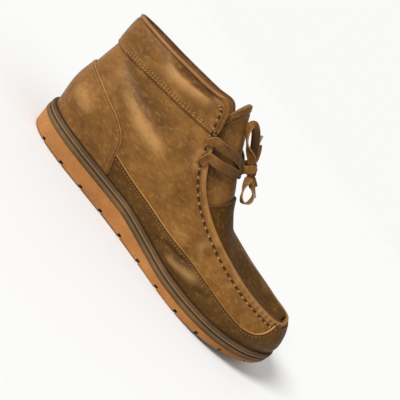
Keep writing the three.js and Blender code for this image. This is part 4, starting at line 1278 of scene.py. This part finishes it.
finished("crossed_lace", joined(lace_forms), cotton_coat, "lace_bars")

# Lace: knot
# The middle of the bow: two turns of the flat lace round the ends of both loops, drawn tight.
KNOT_LEAN = math.radians(46)
down_throat = np.array([math.cos(KNOT_LEAN), 0, -math.sin(KNOT_LEAN)])
off_throat = np.array([math.sin(KNOT_LEAN), 0, math.cos(KNOT_LEAN)])


def knot_band(lean, half_width, radius_y, radius_out, shift):
    """One turn of the lace round the throat's line, leaning a little to one side."""

    def place(u, v):
        turn, around = 2 * np.pi * u, 2 * np.pi * v
        flat = squared_off(np.cos(around), 0.7) * half_width
        thick = np.sin(around) * 0.85
        crease = 0.35 * np.sin(3 * turn + 0.5) * np.sin(flat)
        y = (radius_y + thick + crease) * np.cos(turn)
        out = (radius_out + thick + crease) * np.sin(turn)
        down = flat + lean * y + shift + 0.5 * np.sin(2 * turn)
        points = KNOT_PLACE + down[:, None] * down_throat + (out - 1.2)[:, None] * off_throat
        points[:, 1] += y
        return points, {"run": u * 40, "side": flat}

    return laid(64, 16, place)


def knot_heart(u, v):
    turn, tilt = 2 * np.pi * u, np.pi * v
    ripple = 1 + 0.06 * np.sin(5 * turn + 2 * tilt)
    down = 6.0 * np.cos(tilt)
    y = 5.6 * np.sin(tilt) * np.cos(turn) * ripple
    out = 3.7 * np.sin(tilt) * np.sin(turn) * ripple
    points = KNOT_PLACE + down[:, None] * down_throat + out[:, None] * off_throat
    points[:, 1] += y
    return points, {"run": down + 8, "side": y * 0.5}


knot_forms = [
    knot_band(0.22, 3.6, 7.2, 6.2, 0.6), knot_band(-0.3, 2.6, 6.5, 5.6, -2.8), laid(48, 30, knot_heart)]
knot = finished("bow_knot", joined(knot_forms), cotton_coat, "lace_knot")

# Lace: bow
# Two strands leave the knot. Each one makes a loop, goes back through the knot and ends in a tag, so a
# loop and the end on the other side of the knot are one strand. Points of their middle lines, in mm.
UPPER_LOOP = [(153.2, -5.1, 122.4), (148.5, -8.5, 125.6), (143, -11, 127.8), (136, -12.5, 131.2),
              (129.8, -12.2, 136.6), (126.6, -8.8, 142.2), (128.9, -4.5, 144.5), (134.3, -2, 141.2),
              (140.8, -1, 135.2), (147.2, -0.6, 128.3), (152.7, -0.4, 123)]
LOWER_LOOP = [(160.6, -5.2, 114), (162.6, -9.8, 109), (165.4, -13.8, 103.5), (168.8, -15.6, 99.2),
              (173.2, -14.6, 97.2), (176.6, -11, 99.2), (176.4, -6.5, 103.6), (172.4, -3.2, 108),
              (166.6, -1.2, 111.2), (161.7, -0.6, 113.3)]
UPPER_END = [(152.9, 4.7, 122.7), (149.8, 5.2, 128.2), (146.4, 5, 132.8), (143.1, 4.6, 136.1)]
LOWER_END = [(161, 4.4, 114), (164.6, 4.7, 112.4), (168, 5.1, 110.9), (171, 5.5, 109.4)]
UPPER_TAG = [(142.6, 4.5, 136.9), (139.6, 3.9, 143.5)]
LOWER_TAG = [(171.5, 5.6, 109.1), (178.9, 7, 104.4)]
UPPER_STRAND = UPPER_LOOP + [(156.4, 1.6, 118.4)] + LOWER_END
LOWER_STRAND = LOWER_LOOP + [(157.2, 1.8, 117.6)] + UPPER_END


def tag_form(ends):
    """A rolled tag: a slim tube with softened ends, a little flat."""
    start, end = (np.array(point, float) for point in ends)
    length = np.linalg.norm(end - start)
    way = (end - start) / length
    across = unit(np.cross(way, (0, 1, 0)))
    third = np.cross(way, across)

    def place(u, v):
        turn = 2 * np.pi * u
        rings = (0, 0.02, 0.06, 0.93, 0.98, 1)
        radius = np.interp(v, rings, (0, 1.3, 1.5, 1.35, 1.1, 0))
        run = np.interp(v, rings, (-1.2, -1.2, -0.9, length - 0.4, length, length))
        points = start + way * run[:, None] + across * (radius * np.cos(turn))[:, None]
        return points + third * (radius * 0.8 * np.sin(turn))[:, None], {"run": run, "side": radius}

    return laid(24, 50, place)


film_coat, tree, shader = new_coat(
    "clear_film_tag", Roughness=0.22, Specular_IOR_Level=0.6, Coat_Weight=0.6, Coat_Roughness=0.1)
clouds = clouded(tree, (104, 92, 80), (140, 130, 118), (178, 170, 160), 160.0)
dressed(tree, shader, clouds["Color"], noise(tree, 600.0, 5.0, 0.7), 0.0002, 0.4)

upper_tag = finished("upper_tag_film", tag_form(UPPER_TAG), film_coat, "lace_tag_upper")
lower_tag = finished("lower_tag_film", tag_form(LOWER_TAG), film_coat, "lace_tag_lower")


def strand(name, route, loop, turned, shaded, nodes):
    """One strand of the bow as a flat band along its route. turned is 1 where its flat side looks to the
    outer side of the shoe, and 0 where it looks out of its loop."""
    points = np.array(route, float)
    way = unit(np.gradient(points, axis=0))
    to_side = np.array((-0.07, -0.97, 0.23))
    apart = points - np.mean(loop, axis=0)
    apart = apart - (apart @ to_side)[:, None] * to_side
    apart = apart / np.maximum(np.linalg.norm(apart, axis=1, keepdims=True), 3.0)
    turned = np.array(turned)[:, None]
    looks = apart * (1 - turned) + to_side * turned
    looks = unit(looks - way * np.sum(looks * way, axis=1, keepdims=True))
    form = band_form(points, looks, LACE_WIDTH, LACE_THICKNESS, 150, [(len(loop), 1.0)], shaded)
    piece = finished(name, form, cotton_coat, None)
    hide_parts(*nodes)
    centre = curve_through(points)(np.linspace(0, len(points) - 1, 151))


strand("bow_strand_upper", UPPER_STRAND, UPPER_LOOP,
       [0.4, 0.2, 0.1, 0.1, 0.2, 0.5, 0.8, 1, 1, 1, 1, 1, 1, 1, 1, 1],
       [0, 0, 0, 0, 0, 0, 0.3, 0.9, 1, 1, 0.9, 0.4, 0, 0, 0, 0],
       ("lace_loop_upper", "lace_end_lower"))
strand("bow_strand_lower", LOWER_STRAND, LOWER_LOOP,
       [0.4, 0.2, 0.1, 0, 0, 0, 0, 0.3, 0.5, 0.6, 0.8, 1, 1, 1, 1], 0.0,
       ("lace_loop_lower", "lace_end_upper"))

# Floor, light and camera
# A pale studio floor, one broad soft light from behind the heel and above, a softer one from the toe, and
# the camera at the photograph's own angle to the shoe, rolled as the shoe leans there.
pale_coat, tree, shader = new_coat("pale_floor", Roughness=0.9, Specular_IOR_Level=0.1)
shader.inputs["Base Color"].default_value = (0.82, 0.83, 0.84, 1)
floor_form = bmesh.new()
bmesh.ops.create_grid(floor_form, x_segments=1, y_segments=1, size=30)
floor_mesh = bpy.data.meshes.new("studio_floor")
floor_form.to_mesh(floor_mesh)
floor_form.free()
floor_mesh.materials.append(pale_coat)
studio_floor = bpy.data.objects.new("studio_floor", floor_mesh)
bpy.context.scene.collection.objects.link(studio_floor)

world = bpy.data.worlds.new("studio_air")
bpy.context.scene.world = world
world.use_nodes = True
tree = world.node_tree
air = tree.nodes["Background"]
air.inputs["Color"].default_value = (1.0, 0.965, 0.915, 1)
air.inputs["Strength"].default_value = 0.5
seen = add(tree, "ShaderNodeBackground", {"Color": (1.0, 0.995, 0.985, 1), "Strength": 0.95})
straight = add(tree, "ShaderNodeLightPath").outputs["Is Camera Ray"]
both = add(tree, "ShaderNodeMixShader", {0: straight, 1: air.outputs[0], 2: seen.outputs[0]})
tree.links.new(both.outputs[0], tree.nodes["World Output"].inputs["Surface"])


def soft_sun(name, away, strength, angle):
    sun = bpy.data.lights.new(name, "SUN")
    sun.energy = strength
    sun.angle = math.radians(angle)
    lamp = bpy.data.objects.new(name, sun)
    bpy.context.scene.collection.objects.link(lamp)
    lamp.rotation_euler = Vector(away).to_track_quat("Z", "Y").to_euler()


soft_sun("key_light", (-0.66, -0.55, 0.55), 3.5, 20)
soft_sun("fill_light", (0.6, -0.3, 0.75), 0.4, 60)

CAMERA_PLACE = np.array([119.8, -455.1, 173.7])
AIM = np.array([150.0, 0.0, 66.0])
ROLL = math.radians(52)
LENS = 47.5
back = unit(CAMERA_PLACE - AIM)
level = unit(np.cross((0, 0, 1), back))
upright = np.cross(back, level)
right = math.cos(ROLL) * level + math.sin(ROLL) * upright
top = -math.sin(ROLL) * level + math.cos(ROLL) * upright
eye = bpy.data.cameras.new("photograph_eye")
eye.lens = LENS
eye.clip_start = 0.01
eye.clip_end = 100
camera = bpy.data.objects.new("photograph_eye", eye)
bpy.context.scene.collection.objects.link(camera)
turned = Matrix((Vector(right), Vector(top), Vector(back))).transposed().to_4x4()
camera.matrix_world = Matrix.Translation(Vector(in_row(CAMERA_PLACE))) @ turned
bpy.context.scene.camera = camera
bpy.context.scene.view_settings.view_transform = "Standard"
